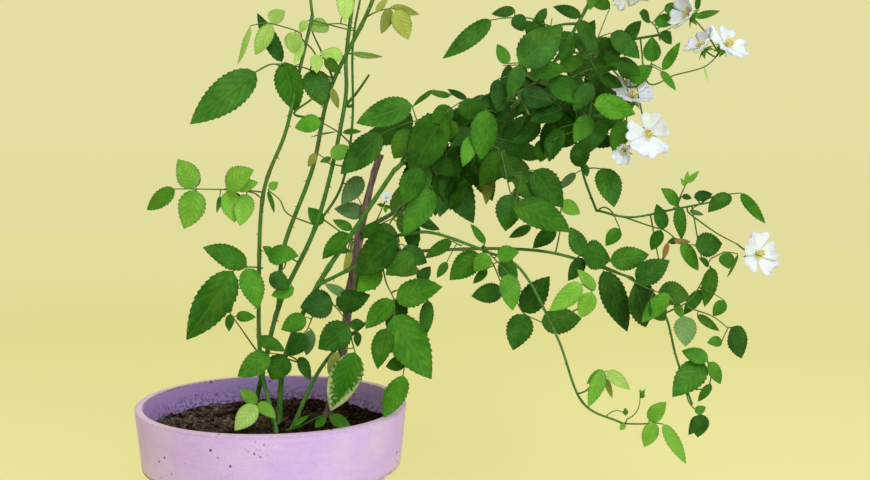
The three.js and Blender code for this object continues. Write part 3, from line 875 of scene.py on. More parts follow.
@dataclass(frozen=True)
class OldBark:
    """The oldest wood: purple-grey with stripped, fibrous bands and a little moss."""

    tones: Sequence[tuple[float, str]] = ((0.25, "352a31"), (0.5, "6b5760"), (0.75, "9c8a8c"))
    moss: str = "6f7a4c"
    strip: Grain = Grain(520.0, 5.0, 0.65)
    strip_drawn: float = 0.1
    patch: Grain = Grain(70.0, 3.0)
    mossy: Band = Band(0.55, 0.75, 0.5)
    rough: Pair = (0.78, 0.15)
    relief: Relief = Relief(0.8, 0.0012)

    def dress(self, graph: Graph) -> Sockets:
        """Dresses the wood.

        Args:
            graph: the material's graph.

        Returns:
            What the shader's sockets take.
        """
        place = graph.place()
        strip = graph.grain(place.drawn(self.strip_drawn), self.strip)
        moss = graph.grain(place, self.patch).mask(self.mossy)
        return {"Base Color": graph.mix(moss, graph.ramp(strip, *self.tones), self.moss),
                "Roughness": strip * self.rough[1] + self.rough[0], "Normal": graph.bump(strip, self.relief)}


@dataclass(frozen=True)
class PaintedClay:
    """Lilac paint on clay: mottled, with chips, specks and bare clay under the collar, painted light on the
    lip's top and right side, and painted shade on the inner wall.

    A band of the pot's own radius or height is in metres.
    """

    PAINT, PAINT_BRUSHED, PAINT_PALE = "be9ff8", "cfb3ff", "dccbff"
    # A pale rose painted as light on the right side, and a deep violet painted as shade on the inner wall
    PAINT_ROSY, PAINT_DEEP = "e2cada", "9a7fd4"
    # First a pale tone painted as light on the lip's top
    LIP_TONE, LINE_TONE, SPECK_TONE, CLAY_TONE, DAMP_TONE = "dcc6d8", "57403e", "2e2230", "b06a45", "4a3842"
    BRUSH, BRUSH_DRAWN, BRUSHED = Grain(30.0, 4.0, 0.6), 9.0, Band(0.3, 0.75, 0.4)
    CLOUD, CLOUDED, ROSY = Grain(18.0, 3.0), Band(0.42, 0.7, 0.4), Band(0.35, 0.6, 0.35)
    FINE, DUSTY, MOTTLE = Grain(650.0, 3.0), Band(0.45, 0.7, 0.3), Grain(330.0)
    INNER_WALL, ABOVE_SOIL, RIGHT_SIDE, FRONT = (
        Band(0.1045, 0.102), Band(0.15, 0.16), Band(0.04, 0.1), Band(0.0, -0.05))
    LIP, LIP_WORN, LINE_BROKEN = Band(0.1925, 0.1945), Band(0.35, 0.62, 0.5), Band(0.36, 0.56, 0.85)
    INNER_RIM, INNER_RIM_END = Band(0.1014, 0.1022), Band(0.104, 0.1032)
    OUTER_RIM, OUTER_RIM_FOOT = Band(0.1078, 0.1086, 0.25), Band(0.1915, 0.1932)
    SPLASH_X, SPLASH_Z, SPLASH_REACH = 0.001, 0.1835, Band(0.011, 0.002)
    CHIPS, CHIP, CHIPS_IN = 120.0, Band(0.17, 0.11), Band(0.57, 0.62)
    CHIPS_SPREAD, CHIPS_INSIDE = Grain(34.0, 1.0), 0.14
    FLECKS, FLECK, FLECKS_IN, SPECK_DEPTH = 300.0, Band(0.36, 0.24), Band(0.4, 0.48), 0.9
    COLLAR_EDGE, EDGE_WIDTH, COLLAR_OUT = 0.1462, Band(0.0022, 0.0008), Band(0.098, 0.1)
    UNDER_COLLAR, BARE_FOOT = Band(0.1452, 0.1446), Band(0.1425, 0.1446)
    BARE_SPREAD, BARE_BROKEN = Grain(45.0), Band(0.3, 0.55)
    DAMP, DAMP_BROKEN = Band(0.19, 0.176), Band(0.46, 0.58, 0.8)
    BRUSH_DEPTH, MOTTLE_DEPTH, FINE_DEPTH, CHIP_DEPTH = 0.4, 0.5, 0.3, 1.5
    ROUGH, FINE_ROUGH, CHIP_ROUGH, RELIEF = 0.52, 0.22, 0.2, Relief(0.45, 0.0008)

    def _paint(self, graph: Graph, brush: Field, fine: Field, inside: Field) -> Field:
        """Mixes the paint: brushed and clouded, with painted light in pale rose on its right side and
        painted shade in deep violet on the inner wall.

        Args:
            graph: the material's graph.
            brush: the noise of the brush.
            fine: the finest noise.
            inside: the mask of the inner wall.

        Returns:
            The paint's colour.
        """
        place = graph.place()
        cloud = graph.grain(place, self.CLOUD)
        body = graph.mix(brush.mask(self.BRUSHED), self.PAINT, self.PAINT_BRUSHED)
        pale = graph.mix(cloud.mask(self.CLOUDED) + fine.mask(self.DUSTY), body, self.PAINT_PALE)
        # Painted light: the right side pales to rose in clouds
        right = place.part("X").mask(self.RIGHT_SIDE)
        rosy = graph.mix(right * cloud.mask(self.ROSY), pale, self.PAINT_ROSY)
        # Painted shade: the inner wall above the soil deepens to violet
        return graph.mix(inside, rosy, self.PAINT_DEEP)

    def _rim(self, graph: Graph, paint: Field, reach: Field, height: Field, mottle: Field) -> Field:
        """Paints the lip's top pale, as painted light broken by mottle, and draws a dark line along its
        edges.

        Args:
            graph: the material's graph.
            paint: the paint's colour.
            reach: the distance from the axis.
            height: the height.
            mottle: the noise that breaks the line.

        Returns:
            The colour with its rim.
        """
        # Painted light: the lip's upward top is paler, broken by mottle
        lip = height.mask(self.LIP)
        worn = graph.mix(lip * mottle.mask(self.LIP_WORN), paint, self.LIP_TONE)
        inner = reach.mask(self.INNER_RIM) * reach.mask(self.INNER_RIM_END)
        outer = reach.mask(self.OUTER_RIM) * height.mask(self.OUTER_RIM_FOOT)
        return graph.mix((inner * lip + outer).held() * mottle.mask(self.LINE_BROKEN), worn, self.LINE_TONE)

    def _specks(self, graph: Graph, height: Field, inside: Field, mottle: Field) -> tuple[Field, Field]:
        """Sets the chips all round and the flecks splashed on the front.

        Args:
            graph: the material's graph.
            height: the height.
            inside: the mask of the inner wall.
            mottle: the noise that breaks the flecks.

        Returns:
            The mask of the chips and the mask of the flecks.
        """
        place = graph.place()
        off = ((place.part("X") - self.SPLASH_X) ** 2.0 + (height - self.SPLASH_Z) ** 2.0) ** 0.5
        near = off.mask(self.SPLASH_REACH) * place.part("Y").mask(self.FRONT)
        spread = graph.grain(place, self.CHIPS_SPREAD) + inside * self.CHIPS_INSIDE
        chip = graph.cells(place, self.CHIPS).mask(self.CHIP) * spread.mask(self.CHIPS_IN)
        fleck = graph.cells(place, self.FLECKS).mask(self.FLECK) * near * mottle.mask(self.FLECKS_IN)
        return chip, fleck

    def _clay(self, graph: Graph, paint: Field, reach: Field, height: Field) -> Field:
        """Bares the clay in a broken line under the collar.

        Args:
            graph: the material's graph.
            paint: the colour so far.
            reach: the distance from the axis.
            height: the height.

        Returns:
            The colour with bare clay.
        """
        edge = abs(height - self.COLLAR_EDGE).mask(self.EDGE_WIDTH) * reach.mask(self.COLLAR_OUT)
        below = height.mask(self.UNDER_COLLAR) * height.mask(self.BARE_FOOT)
        broken = graph.grain(graph.place(), self.BARE_SPREAD).mask(self.BARE_BROKEN)
        return graph.mix((edge + below).held() * broken, paint, self.CLAY_TONE)

    def dress(self, graph: Graph) -> Sockets:
        """Dresses the pot.

        Args:
            graph: the material's graph.

        Returns:
            What the shader's sockets take.
        """
        place = graph.place()
        height = place.part("Z")
        reach = (place.part("X") ** 2.0 + place.part("Y") ** 2.0) ** 0.5
        inside = reach.mask(self.INNER_WALL) * height.mask(self.ABOVE_SOIL)
        brush = graph.grain(place.drawn(self.BRUSH_DRAWN), self.BRUSH)
        fine, mottle = graph.grain(place, self.FINE), graph.grain(place, self.MOTTLE)
        paint = self._paint(graph, brush, fine, inside)
        lined = self._rim(graph, paint, reach, height, mottle)
        chip, fleck = self._specks(graph, height, inside, mottle)
        specks = (chip * self.SPECK_DEPTH + fleck * self.SPECK_DEPTH).held()
        chipped = graph.mix(specks, lined, self.SPECK_TONE)
        bare = self._clay(graph, chipped, reach, height)
        damp = inside * height.mask(self.DAMP) * mottle.mask(self.DAMP_BROKEN)
        relief = (brush * self.BRUSH_DEPTH + mottle * self.MOTTLE_DEPTH + fine * self.FINE_DEPTH
                  - chip * self.CHIP_DEPTH)
        return {"Base Color": graph.mix(damp, bare, self.DAMP_TONE),
                "Roughness": fine * self.FINE_ROUGH + self.ROUGH + chip * self.CHIP_ROUGH,
                "Normal": graph.bump(relief, self.RELIEF)}


@dataclass(frozen=True)
class DampSoil:
    """Dark crumbly soil, drier on its left and mossy in patches."""

    TONES = ((0.43, "030202"), (0.51, "180c0a"), (0.57, "4a2c1e"), (0.65, "b08464"))
    DRY_TONE, MOSS_TONE = "9c8882", "5a6a34"
    CRUMB, GRIT, PATCH = Grain(300.0, 5.0, 0.8), Grain(900.0, 2.0, 0.6), Grain(40.0, 3.0)
    CRUMB_SHARE, GRIT_SHARE, GRIT_DEPTH = 0.7, 0.3, 0.5
    LEFT, BACK = Band(0.03, -0.04), Band(-0.035, 0.02)
    DRY, DRY_CRUMB = Band(0.4, 0.55), Band(0.44, 0.54, 0.9)
    MOSSY, MOSS_GRIT = Band(0.56, 0.7), Band(0.45, 0.6, 0.6)
    ROUGH, CRUMB_ROUGH, SHINE, RELIEF = 0.86, 0.1, 0.1, Relief(1.0, 0.006)

    def dress(self, graph: Graph) -> Sockets:
        """Dresses the soil.

        Args:
            graph: the material's graph.

        Returns:
            What the shader's sockets take.
        """
        place = graph.place()
        crumb, grit = graph.grain(place, self.CRUMB), graph.grain(place, self.GRIT)
        patch = graph.grain(place, self.PATCH)
        left = place.part("X").mask(self.LEFT) * place.part("Y").mask(self.BACK)
        ground = graph.ramp(crumb * self.CRUMB_SHARE + grit * self.GRIT_SHARE, *self.TONES)
        dry = graph.mix(patch.mask(self.DRY) * left * crumb.mask(self.DRY_CRUMB), ground, self.DRY_TONE)
        moss = graph.mix(patch.mask(self.MOSSY) * grit.mask(self.MOSS_GRIT), dry, self.MOSS_TONE)
        return {"Base Color": moss, "Roughness": crumb * self.CRUMB_ROUGH + self.ROUGH,
                "Specular IOR Level": self.SHINE,
                "Normal": graph.bump(crumb + grit * self.GRIT_DEPTH, self.RELIEF)}


@dataclass(frozen=True)
class PetalWhite:
    """A white petal, with a faint lilac towards its rim and a green foot."""

    WHITE, LILAC, GREEN = "dce6ff", "b9bcf2", "e6e8b4"
    FOLDS, PATCH = 60.0, Grain(120.0)
    LILAC_IN, FOOT = Band(0.38, 0.66, 0.8), Band(0.22, 0.05)
    ROUGH, FOLD_ROUGH, RELIEF = 0.5, 0.06, Relief(0.12, 0.0003)
    GLOW, GLOW_DEPTH = 0.12, 0.002

    def dress(self, graph: Graph) -> Sockets:
        """Dresses the petal.

        Args:
            graph: the material's graph.

        Returns:
            What the shader's sockets take.
        """
        uv = graph.blade()
        along = uv.part("Y")
        fold = (uv.part("X") * self.FOLDS).sine() * 0.5 + 0.5
        patch = graph.grain(graph.place(), self.PATCH)
        white = graph.mix(patch.mask(self.LILAC_IN) * along, self.WHITE, self.LILAC)
        return {"Base Color": graph.mix(along.mask(self.FOOT), white, self.GREEN),
                "Roughness": fold * self.FOLD_ROUGH + self.ROUGH, "Subsurface Weight": self.GLOW,
                "Subsurface Scale": self.GLOW_DEPTH, "Normal": graph.bump(fold + patch, self.RELIEF)}


@dataclass(frozen=True)
class AntherGold:
    """Filaments and anthers, in dusty gold."""

    DARK, PALE, DUST, ROUGH, DUST_ROUGH = "cfb860", "efe6b0", Grain(1500.0), 0.7, 0.1

    def dress(self, graph: Graph) -> Sockets:
        """Dresses the stamens.

        Args:
            graph: the material's graph.

        Returns:
            What the shader's sockets take.
        """
        dust = graph.grain(graph.place(), self.DUST)
        return {"Base Color": graph.mix(dust, self.DARK, self.PALE),
                "Roughness": dust * self.DUST_ROUGH + self.ROUGH}


@dataclass(frozen=True)
class PaleFloor:
    """The floor, paler with distance so that it meets the world's colour softly."""

    NEAR, FAR, ROUGH = "e9e8c2", "ffffff", 0.9

    def dress(self, graph: Graph) -> Sockets:
        """Dresses the floor.

        Args:
            graph: the material's graph.

        Returns:
            What the shader's sockets take.
        """
        place = graph.place()
        nearness = (place.part("X") ** 2.0 + place.part("Y") ** 2.0) ** -0.5
        paling = nearness.mask(Band(1 / FLOOR_NEAR, 1 / FLOOR_FAR))
        return {"Base Color": graph.mix(paling, self.NEAR, self.FAR),
                "Roughness": self.ROUGH, "Specular IOR Level": 0.0}


# Paths


class Path:
    """A smooth curve through points, walked by the share of its length."""

    DIVISIONS = 200
    TANGENT_STEP = 0.0005

    def __init__(self, points: Sequence[Vector]) -> None:
        """Measures the curve through the points.

        Args:
            points: the points that it runs through, in millimetres.
        """
        self.points = [Vector(p) for p in points]
        self.samples = [self._at(i / self.DIVISIONS) for i in range(self.DIVISIONS + 1)]
        self.lengths = [0.0]
        for one, other in zip(self.samples, self.samples[1:]):
            self.lengths.append(self.lengths[-1] + (other - one).length)
        self.length = self.lengths[-1]

    def _at(self, share: float) -> Vector:
        """Finds the curve's point by its parameter.

        Args:
            share: the parameter, from 0 to 1.

        Returns:
            The place, in millimetres.
        """
        spans = len(self.points) - 1
        whole = min(int(share * spans), spans - 1)
        t = share * spans - whole
        second, third = self.points[whole], self.points[whole + 1]
        first = self.points[whole - 1] if whole > 0 else second * 2 - third
        fourth = self.points[whole + 2] if whole + 2 <= spans else third * 2 - second
        leave, arrive = (third - first) * 0.5, (fourth - second) * 0.5
        return (second + leave * t + (third * 3 - second * 3 - leave * 2 - arrive) * t ** 2
                + (second * 2 - third * 2 + leave + arrive) * t ** 3)

    def point(self, share: float) -> Vector:
        """Finds the place at a share of the length.

        Args:
            share: the share, from 0 to 1.

        Returns:
            The place, in millimetres.
        """
        goal = clamp(share) * self.length
        low, high = 0, self.DIVISIONS
        while high - low > 1:
            middle = (low + high) // 2
            low, high = (middle, high) if self.lengths[middle] <= goal else (low, middle)
        span = self.lengths[high] - self.lengths[low]
        return self._at((low + (goal - self.lengths[low]) / span) / self.DIVISIONS)

    def tangent(self, share: float) -> Vector:
        """Returns the way that the curve runs there."""
        before, after = max(0.0, share - self.TANGENT_STEP), min(1.0, share + self.TANGENT_STEP)
        return (self.point(after) - self.point(before)).normalized()


class Bow:
    """A quadratic curve from start to end, its middle raised by a share of its span."""

    def __init__(self, start: Vector, end: Vector, bow: float = 0.0, middle: Vector | None = None) -> None:
        """Sets the curve's three points.

        Args:
            start: where it starts.
            end: where it ends.
            bow: how far its middle is raised, as a share of its span.
            middle: its middle point, where that isn't found from bow.
        """
        self.start = start
        self.end = end
        self.middle = middle or start.lerp(end, 0.5) + UP * bow * (end - start).length

    def point(self, share: float) -> Vector:
        """Returns the place at a share of the curve."""
        return self.start.lerp(self.middle, share).lerp(self.middle.lerp(self.end, share), share)

    def tangent(self, share: float) -> Vector:
        """Returns the way that the curve runs there."""
        return ((self.middle - self.start).lerp(self.end - self.middle, share)).normalized()

    def cut(self, share: float) -> "Bow":
        """Returns the curve's first part, up to a share."""
        return Bow(self.start, self.point(share), middle=self.start.lerp(self.middle, share))


def tube(path: Path | Bow, length: float, step: float, sides: int,
         radius: Callable[[float, float, Vector], float]) -> Shape:
    """Makes a closed tube along a curve.

    Args:
        path: the curve.
        length: the curve's length, in millimetres.
        step: the distance between rings.
        sides: the number of sides.
        radius: the radius at a share of the length, an angle and a place.

    Returns:
        The tube, with UVs that run round and along it.
    """
    rings = max(2, round(length / step))
    shape = Shape()
    across = squared(SIDEWAYS, path.tangent(0.0))
    for ring in range(rings + 1):
        share = ring / rings
        place, tangent = path.point(share), path.tangent(share)
        across = squared(across, tangent)
        side = tangent.cross(across)
        for corner in range(sides):
            angle = 2 * math.pi * corner / sides
            way = across * math.cos(angle) + side * math.sin(angle)
            shape.vertices.append(place + way * radius(share, angle, place + way))
    for ring in range(rings):
        for corner in range(sides):
            other = (corner + 1) % sides
            low, high = ring * sides, (ring + 1) * sides
            shape.faces.append((low + corner, low + other, high + other, high + corner))
            around = (corner / sides, (corner + 1) / sides)
            along = (ring * length / rings * MM, (ring + 1) * length / rings * MM)
            shape.uvs.extend([(around[0], along[0]), (around[1], along[0]),
                              (around[1], along[1]), (around[0], along[1])])
    shape.faces.append(tuple(reversed(range(sides))))
    shape.faces.append(tuple(rings * sides + i for i in range(sides)))
    shape.uvs.extend([(0.5, 0.0)] * (2 * sides))
    return shape


# Plant


class Wood(Enum):
    """The two kinds of limb."""

    GREEN = "green_bark"
    OLD = "old_bark"


@dataclass
class Limb:
    """A cane or bough: where it starts, its radii at both ends and the points that it runs through."""

    name: str
    radii: Pair
    by: Sequence[Triple]
    foot: Pair | None = None
    on: str = ""
    at: float = 0.0
    after: str = ""
    wood: Wood = Wood.GREEN
    knots: list[float] = field(default_factory=list)

    def grow(self, limbs: dict[str, "Limb"]) -> None:
        """Finds the limb's curve.

        Args:
            limbs: the limbs grown before it, by name.
        """
        points = [Vector(p) for p in self.by]
        if self.foot:
            points.insert(0, Vector((*self.foot, SOIL_LEVEL - FOOT_DEPTH)))
        if self.on:
            points.insert(0, limbs[self.on].path.point(self.at))
        if self.after:
            older = limbs[self.after].path
            points.insert(0, older.point(1.0) - older.tangent(1.0) * self.radii[0])
        self.path = Path(points)

    def width(self, share: float) -> float:
        """Returns the plain radius at a share of the length."""
        flared = FLARE if self.foot or self.on else 0.0
        return lerp(*self.radii, share) * (1.0 + flared * math.exp(-share * self.path.length / FLARE_REACH))

    def skin(self, share: float, angle: float, place: Vector) -> float:
        """Finds the radius with its knots and the bark's relief.

        Args:
            share: the share of the length.
            angle: the angle round the limb, which isn't used.
            place: a place on that side of it.

        Returns:
            The radius, in millimetres.
        """
        plain = self.width(share)
        knot = sum(math.exp(-((share - k) * self.path.length / KNOT_REACH) ** 2) for k in self.knots)
        if self.wood is Wood.OLD:
            drawn = Vector((place.x * OLD_ACROSS, place.y * OLD_ACROSS, place.z * OLD_ALONG))
            rough = noise.noise(drawn * OLD_FINENESS)
            lump = noise.noise(place * OLD_SWELL)
            return plain * (1.0 + OLD_ROUGH * rough + OLD_LUMP * lump + OLD_KNOT * knot)
        lump = noise.noise(place * GREEN_SWELL)
        return plain * (GREEN_BODY + GREEN_LUMP * lump + GREEN_KNOT * min(knot, MOST_KNOT))

    def shape(self) -> Shape:
        """Returns the limb's mesh, finer on the old wood."""
        step, sides = OLD_MESH if self.wood is Wood.OLD else GREEN_MESH
        return tube(self.path, self.path.length, step, sides, self.skin)


LIMBS = [
    Limb("cane_left", (2.3, 1.7), [(-9, 7, 225), (-10, 8, 290), (-5, 5, 365), (14, 1, 415),
        (27, -5, 467), (37, -8, 506)], foot=(6, -16)),
    Limb("cane_middle", (2.6, 1.8), [(-8, 22, 222), (6, 18, 274), (38, 14, 343), (60, 12, 433),
        (62, 14, 476), (69, 18, 530)], foot=(-22, 49)),
    Limb("cane_right", (2.9, 2.2), [(11, 4, 232), (39, -4, 292), (70, -14, 339), (102, -20, 387)],
        foot=(5, 4)),
    Limb("cane_right_end", (2.2, 1.4), [(129, -20, 409), (192, -15, 442), (223, -10, 465),
        (263, 0, 534), (278, 5, 590)], after="cane_right"),
    Limb("cane_low", (2.2, 1.4), [(43, -8, 228), (83, -20, 268), (102, -30, 280)], foot=(15, -16)),
    Limb("old_wood", (4.0, 2.9), [(56, 26, 229), (63, 20, 284), (73, 16, 336), (83, 14, 378),
        (89, 14, 396)], foot=(42, 32), wood=Wood.OLD),
    Limb("cane_tall", (2.3, 1.9), [(9, 24, 319), (33, 26, 384), (49, 16, 449), (84, -5, 518),
        (108, -10, 596)], on="cane_middle", at=0.29),
    Limb("cane_thin", (1.4, 1.1), [(56, 34, 369), (65, 38, 420), (66, 36, 484), (74, 36, 530)],
        on="cane_middle", at=0.48),
    Limb("bough_heart", (2.3, 1.3), [(113, 26, 358), (194, 50, 431), (270, 60, 480), (325, 36, 494)],
        on="old_wood", at=0.72),
    Limb("bough_arch", (1.8, 1.3), [(89, -10, 315), (144, -14, 322), (221, -20, 321), (290, -20, 300)],
        on="cane_right", at=0.53),
    Limb("bough_arch_end", (1.3, 1.0), [(314, -21, 274), (324, -28, 238), (337, -30, 200)],
        after="bough_arch"),
    Limb("bough_front", (1.8, 1.4), [(101, -20, 334), (130, -35, 338), (171, -50, 326)], on="old_wood",
        at=0.7),
    Limb("shoot_hanging", (1.4, 1.0), [(199, -61, 312), (226, -72, 262), (245, -75, 213),
        (276, -75, 196)], after="bough_front"),
    Limb("bough_drop", (1.4, 1.2), [(244, 42, 415), (256, 30, 374), (265, 20, 349)], on="bough_heart",
        at=0.57),
    Limb("bough_drop_end", (1.2, 0.9), [(292, 14, 345), (327, 10, 352), (360, -2, 360)],
        after="bough_drop"),
]


@dataclass(frozen=True)
class Bloom:
    """A flower's place, size and facing, and how far its petals are drawn together."""

    centre: Triple
    radius: float = 18.0
    face: Triple = (0.25, -0.8, 0.4)
    closed: float = 0.0


@dataclass(frozen=True)
class Mass:
    """A spray of leaves and blossom, with the limb that it grows from and the way of its own twig.

    A sheltered one keeps behind what the photo shows, and its leaves leave the limb itself.
    """

    name: str
    limb: str
    at: float
    blooms: Sequence[Bloom] = ()
    twig: Triple | None = None
    count: int = 0
    reach: float = 0.0
    tone: Tone = Tone.MIDDLE
    sheltered: bool = False


# Short names for the tones; D is partly painted shade and Y partly painted glow
D, M, L, B, Y = Tone.DEEP, Tone.MIDDLE, Tone.LIGHT, Tone.BRIGHT, Tone.YOUNG
O, G, R, V = Tone.OLIVE, Tone.GREY, Tone.DRY, Tone.PALE_EDGED
MASSES = [
    Mass("fan_leaf", "cane_left", 0.56),
    Mass("drooping_leaf", "cane_left", 0.43),
    Mass("small_leaf", "cane_left", 0.24),
    Mass("sprout", "cane_left", 0.08),
    Mass("inner_leaves", "cane_middle", 0.27),
    Mass("fork_leaves", "cane_right", 0.34),
    Mass("round_leaf", "cane_right", 0.6),
    Mass("pale_tipped_leaf", "cane_low", 0.92),
    Mass("heart_leaf", "bough_arch", 0.21),
    Mass("centre_leaves", "bough_arch", 0.1),
    Mass("broad_leaf", "cane_tall", 0.51),
    Mass("thin_leaves", "cane_thin", 0.32),
    Mass("olive_leaf", "cane_tall", 0.7),
    Mass("wing_leaves", "cane_right_end", 0.14),
    Mass("front_leaves", "bough_front", 0.45),
    Mass("heart_low", "bough_heart", 0.15, [Bloom((95, -36, 365), 6.0, (0.1, -0.85, 0.5), 0.3)],
        twig=(100, -26, 348), count=10, reach=60, tone=D),
    Mass("heart_left", "bough_heart", 0.28, twig=(142, -6, 398), count=10, reach=60, tone=D),
    Mass("heart_front", "bough_heart", 0.42, twig=(178, -24, 404), count=10, reach=60, tone=D),
    Mass("heart_middle", "cane_right_end", 0.4, twig=(205, -38, 430), count=10, reach=60, tone=D),
    Mass("heart_right", "bough_heart", 0.66, [Bloom((289, -6, 442), 20, (0.15, -0.56, 0.8))],
        twig=(248, -6, 432), count=10, reach=60, tone=D),
    Mass("bright_leaves", "bough_front", 0.8),
    Mass("hanging_pair", "shoot_hanging", 0.42),
    Mass("hanging_tuft", "shoot_hanging", 0.8),
    Mass("hanging_tip", "shoot_hanging", 1.0, [Bloom((290, -80, 220), 3.0, (-0.1, -0.2, 1.0))]),
    Mass("arch_leaves", "bough_arch", 0.47),
    Mass("arch_end_leaves", "bough_arch", 0.86),
    Mass("fall_leaves", "bough_arch_end", 0.3),
    Mass("fall_tip", "bough_arch_end", 1.0),
    Mass("drop_leaf", "bough_drop", 0.5),
    Mass("drop_leaves", "bough_drop_end", 0.55),
    Mass("drop_tip", "bough_drop_end", 1.0, [Bloom((387, -22, 319), 19, (0.3, -0.95, 0.2))]),
    Mass("long_leaf", "cane_right_end", 0.66, twig=(220, -18, 496)),
    Mass("blossom_low", "bough_heart", 0.78, [Bloom((298, -34, 415), 19.5, (0.05, -1.0, 0.1)),
        Bloom((280, -30, 402), 14, (-0.3, -0.95, -0.3), 0.5)], twig=(286, 0, 450)),
    Mass("blossom", "bough_heart", 1.0, [Bloom((334, -6, 506), 18, (-0.85, -0.25, 0.45), 0.25),
        Bloom((343, -14, 480), 17, (-0.7, -0.2, 0.7), 0.3),
        Bloom((361, -10, 483), 18.5, (0.5, -0.6, 0.6), -0.1)]),
    Mass("right_high", "cane_right_end", 0.8, [Bloom((284, -30, 525), 18, (0.1, -0.45, -0.9))],
        twig=(262, -28, 520)),
    Mass("right_top", "cane_right_end", 1.0, twig=(288, 10, 630), count=5, reach=68, tone=M),
    Mass("left_top", "cane_left", 1.0, twig=(26, -14, 592), count=5, reach=68, tone=Y),
    Mass("middle_top", "cane_middle", 1.0, twig=(58, 40, 612), count=5, reach=70, tone=B),
    Mass("tall_top", "cane_tall", 1.0, twig=(132, -20, 644), count=5, reach=60, tone=B),
    Mass("heart_back", "bough_heart", 0.34, twig=(150, 112, 412), count=9, reach=80, tone=D),
    Mass("heart_back_high", "bough_heart", 0.62, twig=(232, 130, 470), count=9, reach=80, tone=D),
    Mass("left_back", "cane_left", 0.62, twig=(-34, 84, 420), count=7, reach=76, tone=M,
        sheltered=True),
    Mass("low_back", "old_wood", 0.5, twig=(60, 112, 322), count=8, reach=74, tone=M),
]


@dataclass(frozen=True)
class Blade:
    """A leaflet that the photo shows: its foot, its point and its width, in the photo's pixels."""

    foot: Pair
    point: Pair
    width: float
    tone: Tone | None = None


@dataclass(frozen=True)
class Frond:
    """A leaf that the photo shows: the mass it is of, its stalk in the photo's pixels and its leaflets.

    depth is how far back its far end lies, in millimetres.
    """

    mass: str
    depth: float
    stalk: Sequence[Pair]
    blades: Sequence[Blade] = ()
    tone: Tone = Tone.MIDDLE
    thick: float = 0.75


